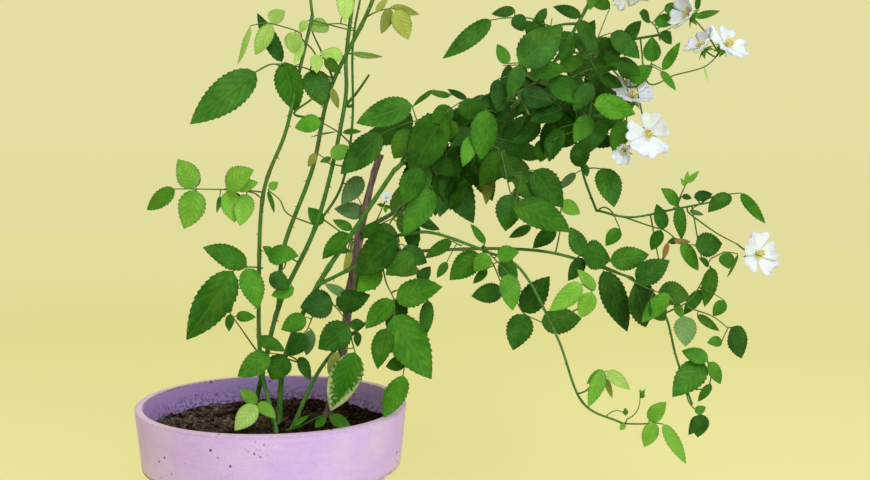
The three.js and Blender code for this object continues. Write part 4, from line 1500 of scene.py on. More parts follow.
FRONDS = [
    Frond("fan_leaf", -15, [(261, 199), (254, 193), (231, 190), (194, 189), (176, 189)],
        [Blade((175, 189), (145, 210), 17, M), Blade((194, 188), (180, 159), 24),
        Blade((196, 190), (186, 229), 27), Blade((226, 188), (250, 168), 23),
        Blade((236, 189), (258, 181), 13), Blade((227, 191), (236, 222), 21),
        Blade((247, 194), (240, 225), 20), Blade((220, 196), (217, 213), 5, M)], B),
    Frond("inner_leaves", -8, [(288, 214), (280, 200), (268, 190)],
        [Blade((269, 189), (278, 182), 9, B), Blade((268, 191), (275, 213), 6)]),
    Frond("left_back", 60, [(289, 70), (273, 64), (257, 71), (247, 79)],
        [Blade((246, 80), (208, 110), 22), Blade((250, 77), (226, 84), 12),
        Blade((290, 72), (289, 100), 12)], D),
    Frond("left_back", 56, [(262, 192), (240, 190), (196, 189)], [Blade((243, 187), (229, 173), 14),
        Blade((236, 192), (234, 217), 14), Blade((196, 187), (190, 168), 14),
        Blade((194, 192), (192, 219), 14)]),
    Frond("drooping_leaf", -25, [(262, 268), (247, 267), (233, 271)],
        [Blade((233, 271), (188, 341), 36), Blade((247, 266), (205, 245), 23),
        Blade((246, 268), (260, 308), 24, L)]),
    Frond("small_leaf", -8, [(257, 351), (240, 327), (230, 313)], [Blade((236, 316), (255, 317), 11),
        Blade((231, 314), (228, 331), 9), Blade((230, 313), (226, 301), 8)]),
    Frond("inner_leaves", -18, [(288, 258), (284, 268), (274, 276)], [Blade((268, 256), (297, 253), 20),
        Blade((270, 274), (290, 290), 18, D), Blade((294, 289), (271, 296), 14, L),
        Blade((273, 256), (264, 246), 9)]),
    Frond("fork_leaves", -30, [(298, 362), (290, 356), (268, 353)], [Blade((258, 338), (285, 350), 14),
        Blade((269, 354), (238, 377), 23, L), Blade((284, 355), (272, 381), 25),
        Blade((300, 357), (310, 380), 12, D)]),
    Frond("fork_leaves", -26, [(315, 305), (312, 318), (307, 330)],
        [Blade((306, 317), (281, 330), 19, L), Blade((312, 330), (305, 356), 13, G),
        Blade((304, 333), (290, 357), 20, D)]),
    Frond("round_leaf", -20, [(312, 303), (326, 300), (340, 312), (351, 332)],
        [Blade((333, 303), (301, 306), 29), Blade((349, 326), (319, 349), 30),
        Blade((336, 305), (369, 296), 23), Blade((346, 295), (325, 284), 10, G),
        Blade((350, 326), (364, 322), 11), Blade((358, 332), (357, 347), 8)], D),
    Frond("pale_tipped_leaf", -38, [(351, 334), (352, 341), (355, 352)],
        [Blade((355, 352), (331, 413), 32, V), Blade((338, 352), (328, 374), 11, O)]),
    Frond("pale_tipped_leaf", -58, [(396, 330), (406, 350), (403, 375)],
        [Blade((403, 375), (385, 420), 22)]),
    Frond("heart_leaf", -48, [(382, 262), (386, 282), (394, 300), (394, 316)],
        [Blade((394, 316), (429, 378), 39), Blade((396, 299), (440, 284), 27),
        Blade((393, 300), (364, 327), 21, L), Blade((387, 328), (376, 368), 21),
        Blade((406, 362), (385, 366), 15, D), Blade((382, 271), (356, 291), 19, L)]),
    Frond("heart_leaf", -30, [(400, 290), (398, 310)], [Blade((402, 300), (388, 330), 22),
        Blade((428, 300), (424, 340), 14), Blade((418, 281), (431, 267), 13)], D),
    Frond("centre_leaves", -34, [(372, 258), (386, 250), (402, 244)],
        [Blade((397, 238), (352, 272), 35), Blade((413, 254), (386, 275), 23, M),
        Blade((401, 250), (428, 262), 21), Blade((372, 245), (400, 270), 20)], D),
    Frond("thin_leaves", -8, [(352, 240), (349, 236)], [Blade((348, 233), (321, 258), 17),
        Blade((351, 252), (344, 275), 7, O), Blade((352, 229), (333, 220), 10),
        Blade((322, 224), (309, 208), 15)]),
    Frond("broad_leaf", -22, [(332, 78), (310, 70), (301, 67), (274, 64), (256, 72)],
        [Blade((256, 72), (190, 123), 34), Blade((282, 62), (257, 13), 15, D),
        Blade((285, 62), (295, 113), 29), Blade((312, 70), (323, 104), 28, D),
        Blade((331, 88), (339, 109), 8, O)]),
    Frond("broad_leaf", -36, [(315, 54), (302, 39), (299, 32), (273, 24), (263, 23), (250, 26)],
        [Blade((270, 22), (284, 9), 15), Blade((272, 24), (254, 55), 17),
        Blade((295, 32), (291, 53), 18), Blade((303, 42), (294, 66), 8), Blade((250, 26), (239, 66), 4),
        Blade((316, 54), (317, 73), 13), Blade((343, 56), (320, 53), 15),
        Blade((325, 59), (340, 73), 12, D)], Y),
    Frond("left_top", -4, [(355, 31), (343, 24), (328, 24)], [Blade((328, 24), (311, 28), 16),
        Blade((307, 21), (299, 32), 9), Blade((345, -10), (346, 22), 18)], Y),
    Frond("sprout", -26, [(275, 428), (268, 415), (257, 403)], [Blade((257, 403), (240, 389), 13),
        Blade((256, 405), (235, 430), 20, Y), Blade((258, 403), (276, 417), 13)], B),
    Frond("sprout", -24, [(296, 428), (316, 418), (328, 415)], [Blade((326, 417), (314, 427), 10),
        Blade((330, 415), (352, 430), 13), Blade((293, 426), (309, 415), 5)]),
    Frond("thin_leaves", -6, [(350, 143), (338, 132), (321, 122)],
        [Blade((321, 122), (294, 126), 18, L), Blade((336, 132), (310, 136), 5, G),
        Blade((343, 132), (361, 131), 6)]),
    Frond("thin_leaves", -2, [(328, 163), (331, 157)], [Blade((331, 157), (350, 146), 16, B),
        Blade((331, 158), (320, 162), 6), Blade((316, 153), (308, 167), 8, O)]),
    Frond("thin_leaves", 12, [(350, 185), (360, 178)], [Blade((362, 177), (342, 204), 19),
        Blade((365, 213), (335, 208), 17)], G),
    Frond("thin_leaves", 20, [(348, 54), (352, 53)], [Blade((352, 53), (383, 58), 3, Y)]),
    Frond("broad_leaf", -34, [(294, 114), (313, 98), (332, 78)], thick=1.1),
    Frond("thin_leaves", 10, [(346, 106), (358, 91), (369, 75)], thick=1.5),
    Frond("heart_low", -36, [(376, 222), (384, 204)], [Blade((384, 206), (377, 204), 4),
        Blade((384, 206), (391, 208), 4), Blade((385, 206), (386, 213), 4)], M),
    Frond("drop_leaves", -2, [(660, 262), (667, 243), (680, 241)], [Blade((668, 243), (663, 260), 6),
        Blade((674, 241), (691, 242), 6)], R),
    Frond("olive_leaf", -20, [(362, 20), (376, 12), (391, 8)], [Blade((390, 8), (382, 34), 12),
        Blade((396, 10), (409, 39), 20), Blade((392, 6), (420, 15), 7), Blade((376, 12), (388, -3), 7)],
        O),
    Frond("wing_leaves", -26, [(424, 140), (416, 118), (412, 106)], [Blade((412, 105), (356, 122), 28),
        Blade((412, 130), (394, 159), 27, D), Blade((381, 134), (341, 174), 28, D)]),
    Frond("wing_leaves", -18, [(470, 104), (467, 99), (450, 94), (433, 90)],
        [Blade((433, 90), (412, 106), 6), Blade((450, 96), (429, 92), 7),
        Blade((467, 99), (447, 89), 7)], D),
    Frond("heart_left", -40, [(440, 125), (446, 112)], [Blade((445, 115), (407, 174), 40),
        Blade((453, 109), (430, 122), 20), Blade((450, 119), (447, 142), 20, M),
        Blade((469, 98), (471, 121), 25)], D),
    Frond("heart_left", -18, [(432, 160), (436, 175)], [Blade((440, 160), (474, 223), 34),
        Blade((450, 165), (440, 215), 30), Blade((425, 150), (455, 175), 26)], D),
    Frond("heart_low", -34, [(405, 225), (420, 210), (433, 190)], [Blade((433, 190), (403, 234), 27, M),
        Blade((420, 168), (402, 203), 25)], D),
    Frond("heart_front", -56, [(505, 122), (495, 112), (486, 110)],
        [Blade((486, 110), (481, 160), 27, M), Blade((540, 123), (491, 145), 28, L),
        Blade((472, 136), (464, 166), 16, L), Blade((545, 139), (540, 163), 18, L),
        Blade((489, 158), (487, 204), 16, O)]),
    Frond("heart_front", -34, [(500, 150), (505, 170), (510, 192)], [Blade((505, 150), (479, 187), 26),
        Blade((512, 194), (505, 230), 27), Blade((512, 193), (538, 187), 11, G),
        Blade((531, 226), (509, 238), 10), Blade((556, 229), (532, 247), 16),
        Blade((534, 170), (562, 207), 30), Blade((500, 160), (531, 182), 25),
        Blade((515, 175), (545, 200), 26)], D),
    Frond("heart_front", -62, [(520, 180), (515, 203)], [Blade((515, 204), (571, 227), 29, M)]),
    Frond("arch_leaves", -20, [(560, 230), (561, 202)], [Blade((561, 202), (580, 214), 15, B)]),
    Frond("heart_middle", -44, [(524, 85), (520, 75), (519, 63)], [Blade((519, 64), (564, 26), 38),
        Blade((522, 66), (508, 96), 18), Blade((530, 73), (567, 66), 19, M),
        Blade((508, 64), (497, 44), 13, M), Blade((498, 79), (497, 109), 16)], D),
    Frond("heart_middle", -20, [(530, 100), (545, 92)], [Blade((520, 94), (554, 101), 23),
        Blade((550, 80), (586, 101), 25), Blade((562, 110), (531, 119), 20),
        Blade((505, 100), (488, 108), 18)], D),
    Frond("heart_right", -30, [(585, 130), (590, 116), (592, 85)], [Blade((592, 84), (574, 110), 20),
        Blade((590, 116), (575, 142), 21, M), Blade((627, 121), (612, 151), 21, M),
        Blade((575, 166), (587, 138), 20), Blade((583, 164), (588, 176), 8),
        Blade((549, 142), (554, 159), 9), Blade((560, 128), (548, 160), 20),
        Blade((604, 118), (590, 150), 20)], D),
    Frond("heart_right", -42, [(575, 100), (586, 98), (594, 105)],
        [Blade((594, 105), (637, 109), 25, L)]),
    Frond("drop_leaf", 2, [(583, 170), (592, 168), (603, 169)], [Blade((603, 168), (616, 205), 25),
        Blade((576, 173), (557, 190), 9, G)]),
    Frond("drop_leaf", 0, [(596, 213), (603, 207), (612, 212), (620, 229)],
        [Blade((620, 229), (605, 245), 14)]),
    Frond("bright_leaves", -72, [(484, 245), (490, 254), (508, 273)],
        [Blade((497, 256), (518, 251), 17), Blade((490, 256), (473, 269), 18),
        Blade((508, 274), (513, 310), 21)], L),
    Frond("bright_leaves", -46, [(480, 248), (492, 262), (503, 288)],
        [Blade((481, 255), (448, 277), 25, M), Blade((500, 261), (518, 284), 19),
        Blade((503, 291), (471, 296), 20), Blade((487, 269), (473, 284), 9),
        Blade((485, 244), (471, 223), 8, M)], D),
    Frond("front_leaves", -44, [(462, 246), (452, 241)], [Blade((452, 241), (424, 257), 13, D),
        Blade((447, 262), (437, 278), 9)], D),
    Frond("hanging_pair", -84, [(553, 319), (579, 308), (592, 291)], [Blade((582, 284), (551, 311), 20),
        Blade((595, 290), (578, 269), 12), Blade((592, 292), (580, 319), 18)], B),
    Frond("arch_leaves", -34, [(512, 278), (521, 310), (541, 322)], [Blade((541, 322), (583, 319), 27),
        Blade((525, 314), (512, 349), 26), Blade((523, 312), (548, 277), 26)], D),
    Frond("hanging_tuft", -88, [(580, 393), (587, 390), (600, 374)], [Blade((603, 370), (589, 407), 15),
        Blade((607, 371), (630, 389), 13, Y), Blade((606, 378), (612, 399), 5, O),
        Blade((602, 370), (586, 384), 8)], B),
    Frond("hanging_tip", -84, [(640, 424), (654, 423), (663, 424)], [Blade((649, 421), (665, 402), 16),
        Blade((654, 422), (645, 448), 16), Blade((663, 424), (687, 464), 13),
        Blade((625, 424), (620, 430), 6)], B),
    Frond("arch_end_leaves", -26, [(578, 256), (584, 256), (600, 259), (612, 262)],
        [Blade((583, 255), (571, 227), 18), Blade((583, 255), (611, 256), 30),
        Blade((583, 258), (569, 281), 15), Blade((610, 261), (650, 255), 24, M)], D),
    Frond("arch_end_leaves", -44, [(600, 265), (620, 273), (640, 285), (668, 296)],
        [Blade((636, 281), (669, 260), 25), Blade((603, 271), (629, 332), 26),
        Blade((634, 284), (652, 327), 30), Blade((669, 294), (641, 322), 18, L),
        Blade((659, 290), (690, 298), 24), Blade((676, 303), (682, 318), 9, L),
        Blade((684, 316), (687, 346), 22, G), Blade((650, 300), (668, 320), 20)], D),
    Frond("fall_leaves", -20, [(672, 310), (690, 300), (703, 280), (711, 266)],
        [Blade((711, 267), (707, 308), 16, M), Blade((702, 290), (683, 315), 13),
        Blade((725, 301), (713, 316), 13, M), Blade((709, 266), (700, 257), 6)], D),
    Frond("fall_leaves", -30, [(690, 308), (712, 316), (728, 328)], [Blade((697, 315), (720, 331), 9),
        Blade((731, 327), (746, 358), 21), Blade((722, 341), (708, 342), 11, M)], D),
    Frond("fall_tip", -34, [(675, 376), (693, 389), (708, 386), (711, 372), (707, 361)],
        [Blade((704, 362), (673, 395), 28), Blade((708, 360), (682, 350), 16),
        Blade((709, 362), (722, 384), 13), Blade((711, 384), (698, 402), 9)]),
    Frond("fall_tip", -36, [(686, 391), (690, 404), (701, 414)], [Blade((695, 412), (706, 407), 9, M),
        Blade((701, 414), (699, 438), 17), Blade((699, 416), (690, 435), 11)], D),
    Frond("drop_leaves", -6, [(624, 217), (650, 226), (666, 231), (681, 243), (695, 245)],
        [Blade((664, 229), (657, 204), 14), Blade((661, 230), (651, 251), 13),
        Blade((681, 243), (700, 271), 14), Blade((695, 246), (724, 243), 25, D),
        Blade((668, 242), (682, 240), 6, D)]),
    Frond("drop_leaves", -2, [(673, 209), (678, 204)], [Blade((678, 204), (663, 188), 12),
        Blade((677, 206), (684, 240), 13), Blade((682, 196), (692, 198), 6, D)]),
    Frond("drop_tip", -16, [(701, 203), (712, 197), (730, 194), (741, 193)],
        [Blade((694, 197), (713, 194), 11), Blade((730, 194), (708, 210), 16),
        Blade((741, 193), (765, 224), 8, M), Blade((690, 211), (704, 215), 5, G)], D),
    Frond("drop_tip", -14, [(678, 203), (681, 195), (685, 186)], [Blade((685, 186), (681, 178), 4),
        Blade((686, 184), (688, 171), 5), Blade((687, 183), (699, 171), 6)], B),
    Frond("drop_tip", -22, [(703, 262), (712, 258), (724, 252)], [Blade((724, 253), (730, 268), 15),
        Blade((738, 254), (728, 278), 6)]),
    Frond("long_leaf", -26, [(552, 27), (539, 22), (529, 18), (505, 18), (492, 20)],
        [Blade((491, 20), (444, 58), 19), Blade((515, 10), (492, 14), 11, D),
        Blade((515, 15), (524, 31), 16, D), Blade((538, 21), (547, 8), 10, D)]),
    Frond("right_high", -34, [(590, 60), (582, 38), (580, 18)], [Blade((581, 16), (554, 6), 12),
        Blade((592, -4), (590, 10), 9, M), Blade((580, 20), (597, 56), 16),
        Blade((611, 33), (641, 57), 21), Blade((596, 70), (621, 49), 19),
        Blade((558, 70), (589, 55), 15, L), Blade((600, 40), (620, 70), 20)], D),
    Frond("blossom", -10, [(648, 83), (675, 75), (704, 67), (719, 54)],
        [Blade((704, 67), (708, 82), 3, Y)], thick=0.8),
    Frond("right_high", -20, [(600, 74), (620, 66), (640, 70)], [Blade((640, 71), (612, 61), 17),
        Blade((600, 78), (624, 85), 14), Blade((560, 84), (590, 92), 17),
        Blade((572, 40), (560, 62), 16), Blade((610, 8), (588, -3), 13),
        Blade((626, 40), (640, 20), 14)], D),
    Frond("heart_middle", -30, [(500, 92), (482, 96)], [Blade((490, 98), (466, 112), 17),
        Blade((474, 104), (458, 128), 16), Blade((508, 104), (492, 126), 18),
        Blade((470, 128), (452, 146), 17)], D),
    Frond("blossom_low", -10, [(640, 84), (652, 62)], [Blade((630, 81), (652, 66), 18),
        Blade((652, 62), (652, 37), 18), Blade((617, 68), (635, 77), 12, D),
        Blade((663, 70), (680, 42), 11, L), Blade((661, 71), (676, 90), 8, L)]),
    Frond("blossom", -6, [(660, 40), (655, 26), (640, 14)], [Blade((655, 25), (680, 14), 14),
        Blade((640, 12), (652, 21), 11, D), Blade((695, 17), (720, 11), 6, L),
        Blade((697, 10), (699, -7), 6), Blade((661, 32), (673, 43), 11),
        Blade((664, 10), (684, 6), 12)]),
    Frond("drop_tip", -20, [(688, 212), (702, 223), (718, 234), (737, 244)], thick=0.8),
    Frond("hanging_tip", -80, [(626, 420), (634, 415), (639, 407), (640, 398)], thick=0.55),
    Frond("hanging_tip", -80, [(605, 417), (613, 411), (621, 411), (626, 416)],
        [Blade((626, 415), (625, 408), 5, M)], thick=0.5),
    Frond("broad_leaf", -4, [(332, 76), (323, 55), (314, 36), (311, 27)], thick=1.0),
]


@dataclass(frozen=True)
class Shade:
    """A stretch of the crown where the photo shows hardly any sky: its ends and its width, in pixels."""

    start: Pair
    end: Pair
    width: float


SHADES = [
    Shade((424, 180), (600, 100), 84),
    Shade((470, 186), (582, 212), 54),
    Shade((385, 226), (455, 186), 62),
    Shade((345, 238), (432, 268), 56),
    Shade((486, 100), (668, 22), 66),
    Shade((575, 262), (690, 300), 48),
    Shade((300, 310), (430, 345), 60),
]


@dataclass
class Canes:
    """All the limbs, dressed in green or old bark."""

    limbs: dict[str, Limb] = field(default_factory=dict)

    def grow(self) -> None:
        """Grows every limb in order, and marks the knots where sprays leave it."""
        for limb in LIMBS:
            limb.grow(self.limbs)
            self.limbs[limb.name] = limb
            if limb.on:
                self.limbs[limb.on].knots.append(limb.at)
        for mass in MASSES:
            self.limbs[mass.limb].knots.append(mass.at)

    def dress(self) -> None:
        """Builds the two pieces and fixes them to the frame."""
        finishes = {Wood.GREEN: GREEN_BARK.finish(),
                    Wood.OLD: material("old_bark", OldBark().dress)}
        for wood, finish in finishes.items():
            members = [limb for limb in LIMBS if limb.wood is wood]
            shape = Shape()
            for limb in members:
                shape.add(limb.shape())
            name = "green_canes" if wood is Wood.GREEN else "old_stem"
            piece = put(name, shape.mesh(name, "bark"), finish)
            settle(piece, [limb.name for limb in members])


@dataclass
class Prickles:
    """Short hooked prickles along the green canes."""

    limbs: dict[str, Limb]
    spacing: float = 17.0
    wander: float = 0.35
    length: Pair = (2.0, 3.4)
    full_on: float = 1.8
    sunk: float = 0.7
    hook: float = 0.25
    seed: int = 31

    def dress(self) -> None:
        """Sets a prickle every so often, on a side taken by chance."""
        chance = Chance(self.seed)
        settings = []
        for limb in self.limbs.values():
            if limb.wood is Wood.OLD:
                continue
            for index in range(1, int(limb.path.length / self.spacing)):
                share = (index + chance(-self.wander, self.wander)) * self.spacing / limb.path.length
                place, tangent = limb.path.point(share), limb.path.tangent(share)
                out = Matrix.Rotation(chance(0, 2 * math.pi), 3, tangent) @ squared(SIDEWAYS, tangent)
                along = (out - tangent * self.hook).normalized()
                length = chance(*self.length) * min(1.0, limb.width(share) / self.full_on)
                settings.append(Setting(
                    (place + out * limb.width(share) * self.sunk) * MM,
                    turned_to(along, squared(tangent, along)), Vector((length, length, length)) * MM))
        strew("prickles", settings, [self.thorn()], PRICKLE_SKIN.finish())

    @staticmethod
    def thorn() -> bpy.types.Mesh:
        """Makes one prickle, its point bent down.

        Returns:
            The mesh, of unit length.
        """
        spine = Bow(Vector((0, 0, 0)), THORN_TIP, middle=THORN_MIDDLE)
        shape = tube(spine, 1.0, THORN_STEP, THORN_SIDES,
                     lambda share, angle, place: lerp(*THORN_RADII, share ** THORN_TAPER))
        return shape.mesh("thorn", "blade", 1.0)


@dataclass
class LeafletShape:
    """One toothed leaflet of unit length: a thin closed blade, folded along its midrib."""

    seed: int
    teeth: int = 9
    half_width: float = 0.5
    widest: float = 0.4
    rise: float = 0.62
    curl: float = 0.11
    wave: float = 0.02
    wave_turns: float = 9.0
    uneven: Pair = (-0.004, 0.004)
    tooth_reach: float = 0.8
    tooth_spread: Pair = (0.4, 0.9)
    last_tooth: float = 0.985
    fold: float = 0.16
    sag: float = 0.2
    bite: float = 0.08
    notch_bite: float = 0.6
    thickness: float = 0.012

    def outline(self, share: float) -> float:
        """Finds the half width of the blade.

        Args:
            share: the share of the length.

        Returns:
            The half width.
        """
        fall = self.rise * (1 - self.widest) / self.widest
        peak = self.widest ** self.rise * (1 - self.widest) ** fall
        return self.half_width * (share ** self.rise) * ((1 - share) ** fall) / peak

    def lifted(self, across: float, share: float, chance: Chance) -> Vector:
        """Places a point of the upper side.

        Args:
            across: how far it lies from the midrib.
            share: the share of the length.
            chance: the run of chance.

        Returns:
            The place.
        """
        out = abs(across) * 2
        wave = self.wave * math.sin(self.wave_turns * share + self.seed)
        lift = self.fold * out - self.curl * out ** 2 - self.sag * share ** 2 + wave * out
        return Vector((across, share, lift + chance(*self.uneven)))

    def mesh(self) -> bpy.types.Mesh:
        """Builds the mesh, with its underside's faces marked.

        Returns:
            The mesh, of unit length and with UVs.
        """
        chance = Chance(self.seed)
        shape = Shape()
        corner: dict[tuple[str, int, int], int] = {}
        uv: list[Pair] = []

        def spot(kind: str, index: int, hand: int, across: float, share: float, edge: float,
                 drop: float = 0.0) -> None:
            """Adds a vertex of the blade.

            Args:
                kind: what it is of: rib, keel, half, notch or tooth.
                index: its station along the blade.
                hand: its side, or 0 on the midrib.
                across: how far it lies from the midrib.
                share: the share of the length.
                edge: how near the edge its UV lies.
                drop: how far it lies under the upper side.
            """
            corner[kind, index, hand] = len(shape.vertices)
            shape.vertices.append(self.lifted(across * hand, share, chance) - UP * drop)
            uv.append((0.5 + 0.5 * edge * hand, share))

        stations = [i / self.teeth for i in range(self.teeth + 1)]
        for i, share in enumerate(stations):
            spot("rib", i, 0, 0.0, share, 0.0)
            if 0 < i < self.teeth:
                spot("keel", i, 0, 0.0, share, 0.0, self.thickness)
            for hand in (-1, 1):
                if 0 < i < self.teeth:
                    wide = self.outline(share) * (1 - self.bite * self.notch_bite)
                    spot("half", i, hand, wide * 0.5, share, 0.5)
                    spot("notch", i, hand, wide, share, 1.0)
                if i < self.teeth:
                    point = min(share + self.tooth_reach / self.teeth, self.last_tooth)
                    wide = self.outline(point) * (1 + self.bite * chance(*self.tooth_spread))
                    spot("tooth", i, hand, wide, point, 1.0)
        under: list[bool] = []

        def face(names: list[tuple[str, int, int]], hand: int, below: bool) -> None:
            """Adds a face, turned to look outward.

            Args:
                names: its vertices, by kind, station and hand.
                hand: its side.
                below: whether it is of the underside.
            """
            loop = [corner[name] for name in names]
            if (hand < 0) != below:
                loop.reverse()
            shape.faces.append(tuple(loop))
            shape.uvs.extend(uv[i] for i in loop)
            under.append(below)

        last = self.teeth - 1
        for i in range(self.teeth):
            for hand in (-1, 1):
                here, there = ("rib", i, 0), ("rib", i + 1, 0)
                half, next_half = ("half", i, hand), ("half", i + 1, hand)
                notch, next_notch = ("notch", i, hand), ("notch", i + 1, hand)
                keel, next_keel, tooth = ("keel", i, 0), ("keel", i + 1, 0), ("tooth", i, hand)
                if i == 0:
                    face([here, next_half, there], hand, False)
                    face([here, tooth, next_notch, next_half], hand, False)
                    face([here, tooth, next_notch, next_keel], hand, True)
                elif i == last:
                    face([here, half, there], hand, False)
                    face([half, notch, tooth, there], hand, False)
                    face([keel, notch, tooth, there], hand, True)
                else:
                    face([here, half, next_half, there], hand, False)
                    face([half, notch, tooth, next_notch, next_half], hand, False)
                    face([keel, notch, tooth, next_notch, next_keel], hand, True)
        made = shape.mesh(f"leaflet_{self.seed}", "blade", 1.0)
        made.attributes.new("under", "BOOLEAN", "FACE").data.foreach_set("value", under)
        sides: dict[tuple[int, int], set[bool]] = {}
        for polygon, below in zip(made.polygons, under):
            for key in polygon.edge_keys:
                sides.setdefault(key, set()).add(below)
        for edge in made.edges:
            edge.use_edge_sharp = len(sides[edge.key]) == 2
        return made


@dataclass
class Foliage:
    """Stems, stalks and leaflets of every mass: those that the photo shows, and those grown by the rule."""

    limbs: dict[str, Limb]
    stalks: Shape = field(default_factory=Shape)
    blades: dict[Tone, list[Setting]] = field(default_factory=dict)
    sprays: dict[Tone, set[str]] = field(default_factory=dict)
    blooms: list[tuple[str, Vector, Bloom]] = field(default_factory=list)
    covers: list[tuple[Vector, Vector, float, float]] = field(default_factory=list)
    skipped: int = 0

    def grow(self) -> None:
        """Grows every mass, the shown leaves first."""
        self.covers += [(Vector(s.start), Vector(s.end), s.width, SHADE_FRONT) for s in SHADES]
        wood = {mass.name: list(self.limbs[mass.limb].path.samples) for mass in MASSES}
        for mass in MASSES:
            if mass.twig:
                stem = self.stem(mass)
                wood[mass.name] += [stem.point(i / STEM_PLACES) for i in range(STEM_PLACES + 1)]
        chance = Chance(len(FRONDS))
        for frond in FRONDS:
            self.add_frond(frond, wood[frond.mass], chance)
        for index, mass in enumerate(MASSES):
            if mass.twig:
                self.add_ruled(mass, Chance(index + 1))
            for bloom in mass.blooms:
                self.add_bloom(mass, bloom, wood[mass.name])
        LOG.info("%d leaflets, %d left out", sum(map(len, self.blades.values())), self.skipped)

    def stem(self, mass: Mass) -> Bow:
        """Bends a mass's own twig out from within its limb.

        Args:
            mass: the mass.

        Returns:
            The twig's curve.
        """
        limb = self.limbs[mass.limb]
        axis, tangent = limb.path.point(mass.at), limb.path.tangent(mass.at)
        goal = Vector(mass.twig)
        outward = tangent if mass.at == 1.0 else squared((goal - axis).normalized(), tangent)
        radius = 0.0 if mass.at == 1.0 else limb.width(mass.at)
        return Bow(axis + outward * radius * STEM_START, goal, STEM_BOW)

    def add_frond(self, frond: Frond, wood: list[Vector], chance: Chance) -> None:
        """Adds a leaf that the photo shows, sprung from the limb or twig that it is seen to leave.

        Args:
            frond: the leaf.
            wood: places along what carries it; its stalk's own places are added to them.
            chance: the run of chance.
        """
        root = min(wood, key=lambda place: (SIGHT.seen(place) - Vector(frond.stalk[0])).length_squared)
        pixels = [SIGHT.seen(root), *map(Vector, frond.stalk)]
        runs = [0.0]
        for one, other in zip(pixels, pixels[1:]):
            runs.append(runs[-1] + (other - one).length)
        spots = [SIGHT.spot(pixel, lerp(root.y, frond.depth, run / runs[-1]))
                 for pixel, run in zip(pixels[1:], runs[1:])]
        path = Path([root, *spots])
        self.add_stalk(path, frond.thick, frond.thick * STALK_TAPER)
        wood.extend(path.samples[::WOOD_STEP])
        line = [(SIGHT.seen(place), place) for place in path.samples[::LINE_STEP]]
        for blade in frond.blades:
            near = min(line, key=lambda pair: (pair[0] - Vector(blade.foot)).length_squared)[1]
            self.add_shown(frond, blade, near, chance)

    def add_shown(self, frond: Frond, blade: Blade, near: Vector, chance: Chance) -> None:
        """Adds a leaflet that the photo shows, from the nearest place of its stalk.

        Args:
            frond: the leaf that it is of.
            blade: the leaflet.
            near: the nearest place of the stalk.
            chance: the run of chance.
        """
        foot = SIGHT.spot(blade.foot, near.y - BLADE_FORWARD + chance(-BLADE_STEP, BLADE_STEP))
        if (foot - near).length > SHORTEST_GAP:
            self.add_stalk(Bow(near, foot, STALK_BOW), *SHORT_STALK)
        flat = SIGHT.spot(blade.point, foot.y)
        length = (flat - foot).length
        point = SIGHT.spot(blade.point, foot.y + chance(*BLADE_DIP) * length)
        along = (point - foot).normalized()
        scale = length / (Vector(blade.point) - Vector(blade.foot)).length
        seen = blade.width * scale
        real = max(seen, BLADE_RATIO * length)
        normal = squared(BLADE_LOOK, along)
        turn = math.degrees(math.acos(seen / real)) * (1 if chance(0, 1) < RIGHT_TURNS else -1)
        turn += chance(-BLADE_ROLL, BLADE_ROLL) * (seen / real) ** 2
        normal.rotate(Matrix.Rotation(math.radians(turn), 3, along))
        if real == seen:
            eye = SIGHT.toward(foot)
            line = (along - eye * along.dot(eye)).normalized()
            shown = abs(along.cross(normal).dot(eye.cross(line)))
            real = seen / clamp(shown, LEAST_SHOWN, 1.0)
        tone = blade.tone or frond.tone
        self.add_blade(frond.mass, tone, foot, along, normal, (point - foot).length, real, chance)
        self.covers.append((Vector(blade.foot), Vector(blade.point), blade.width, max(foot.y, point.y)))

    def hidden(self, root: Vector, tip: Vector) -> bool:
        """Tells whether a line lies above the photo or behind the leaflets that it shows.

        Args:
            root: where the line starts.
            tip: where it ends.

        Returns:
            Whether all of the line is hidden.
        """
        for share in HIDDEN_POINTS:
            place = root.lerp(tip, share)
            pixel = SIGHT.seen(place)
            behind = any(self.covered(pixel, place.y, *cover) for cover in self.covers)
            if pixel.y > PHOTO_TOP and not behind:
                return False
        return True

    @staticmethod
    def covered(pixel: Vector, depth: float, foot: Vector, point: Vector, width: float,
                front: float) -> bool:
        """Tells whether a leaflet that the photo shows lies in front of a place.

        Args:
            pixel: where the place is seen.
            depth: how far back it lies.
            foot: the leaflet's foot, as a pixel.
            point: its point, as a pixel.
            width: its width, in pixels.
            front: how far back the leaflet lies.

        Returns:
            Whether the leaflet covers the place.
        """
        half = (point - foot) / 2
        reach = pixel - (foot + half)
        along = reach.dot(half) / half.length_squared
        across = (reach - half * along).length / (width / 2)
        return depth > front and along ** 2 + across ** 2 < COVER_REACH

    def add_ruled(self, mass: Mass, chance: Chance) -> None:
        """Adds a mass's own twig and, by the rule, leaves along it, each turned on from the last.

        Args:
            mass: the mass.
            chance: the run of chance.
        """
        start = chance(0.0, 2 * math.pi)
        stem = self.stem(mass)
        last = 1.0 if any(frond.mass == mass.name for frond in FRONDS) and not mass.sheltered else 0.0
        for index in range(mass.count):
            share = lerp(FIRST_RULED_LEAF, 1.0, index / (mass.count - 1))
            root, tangent = stem.point(share), stem.tangent(share)
            across = squared(UP, tangent)
            side = tangent.cross(across)
            turn = start + LEAF_TURN * index
            way = (tangent * LEAF_FORWARD + across * LEAF_SPREAD * math.cos(turn)
                   + side * LEAF_SPREAD * math.sin(turn) - UP * LEAF_WEIGHT).normalized()
            tip = root + way * mass.reach * chance(*LEAF_REACH)
            if self.add_leaf(mass, root, tip, RULE_LEAF_SIZE * chance(*LEAF_SIZE), chance):
                last = max(last, share)
        if last:
            thick = clamp(self.limbs[mass.limb].width(mass.at) * TWIG_SHARE, *TWIG_RADII)
            self.add_stalk(stem.cut(last), thick, thick * TWIG_TAPER)

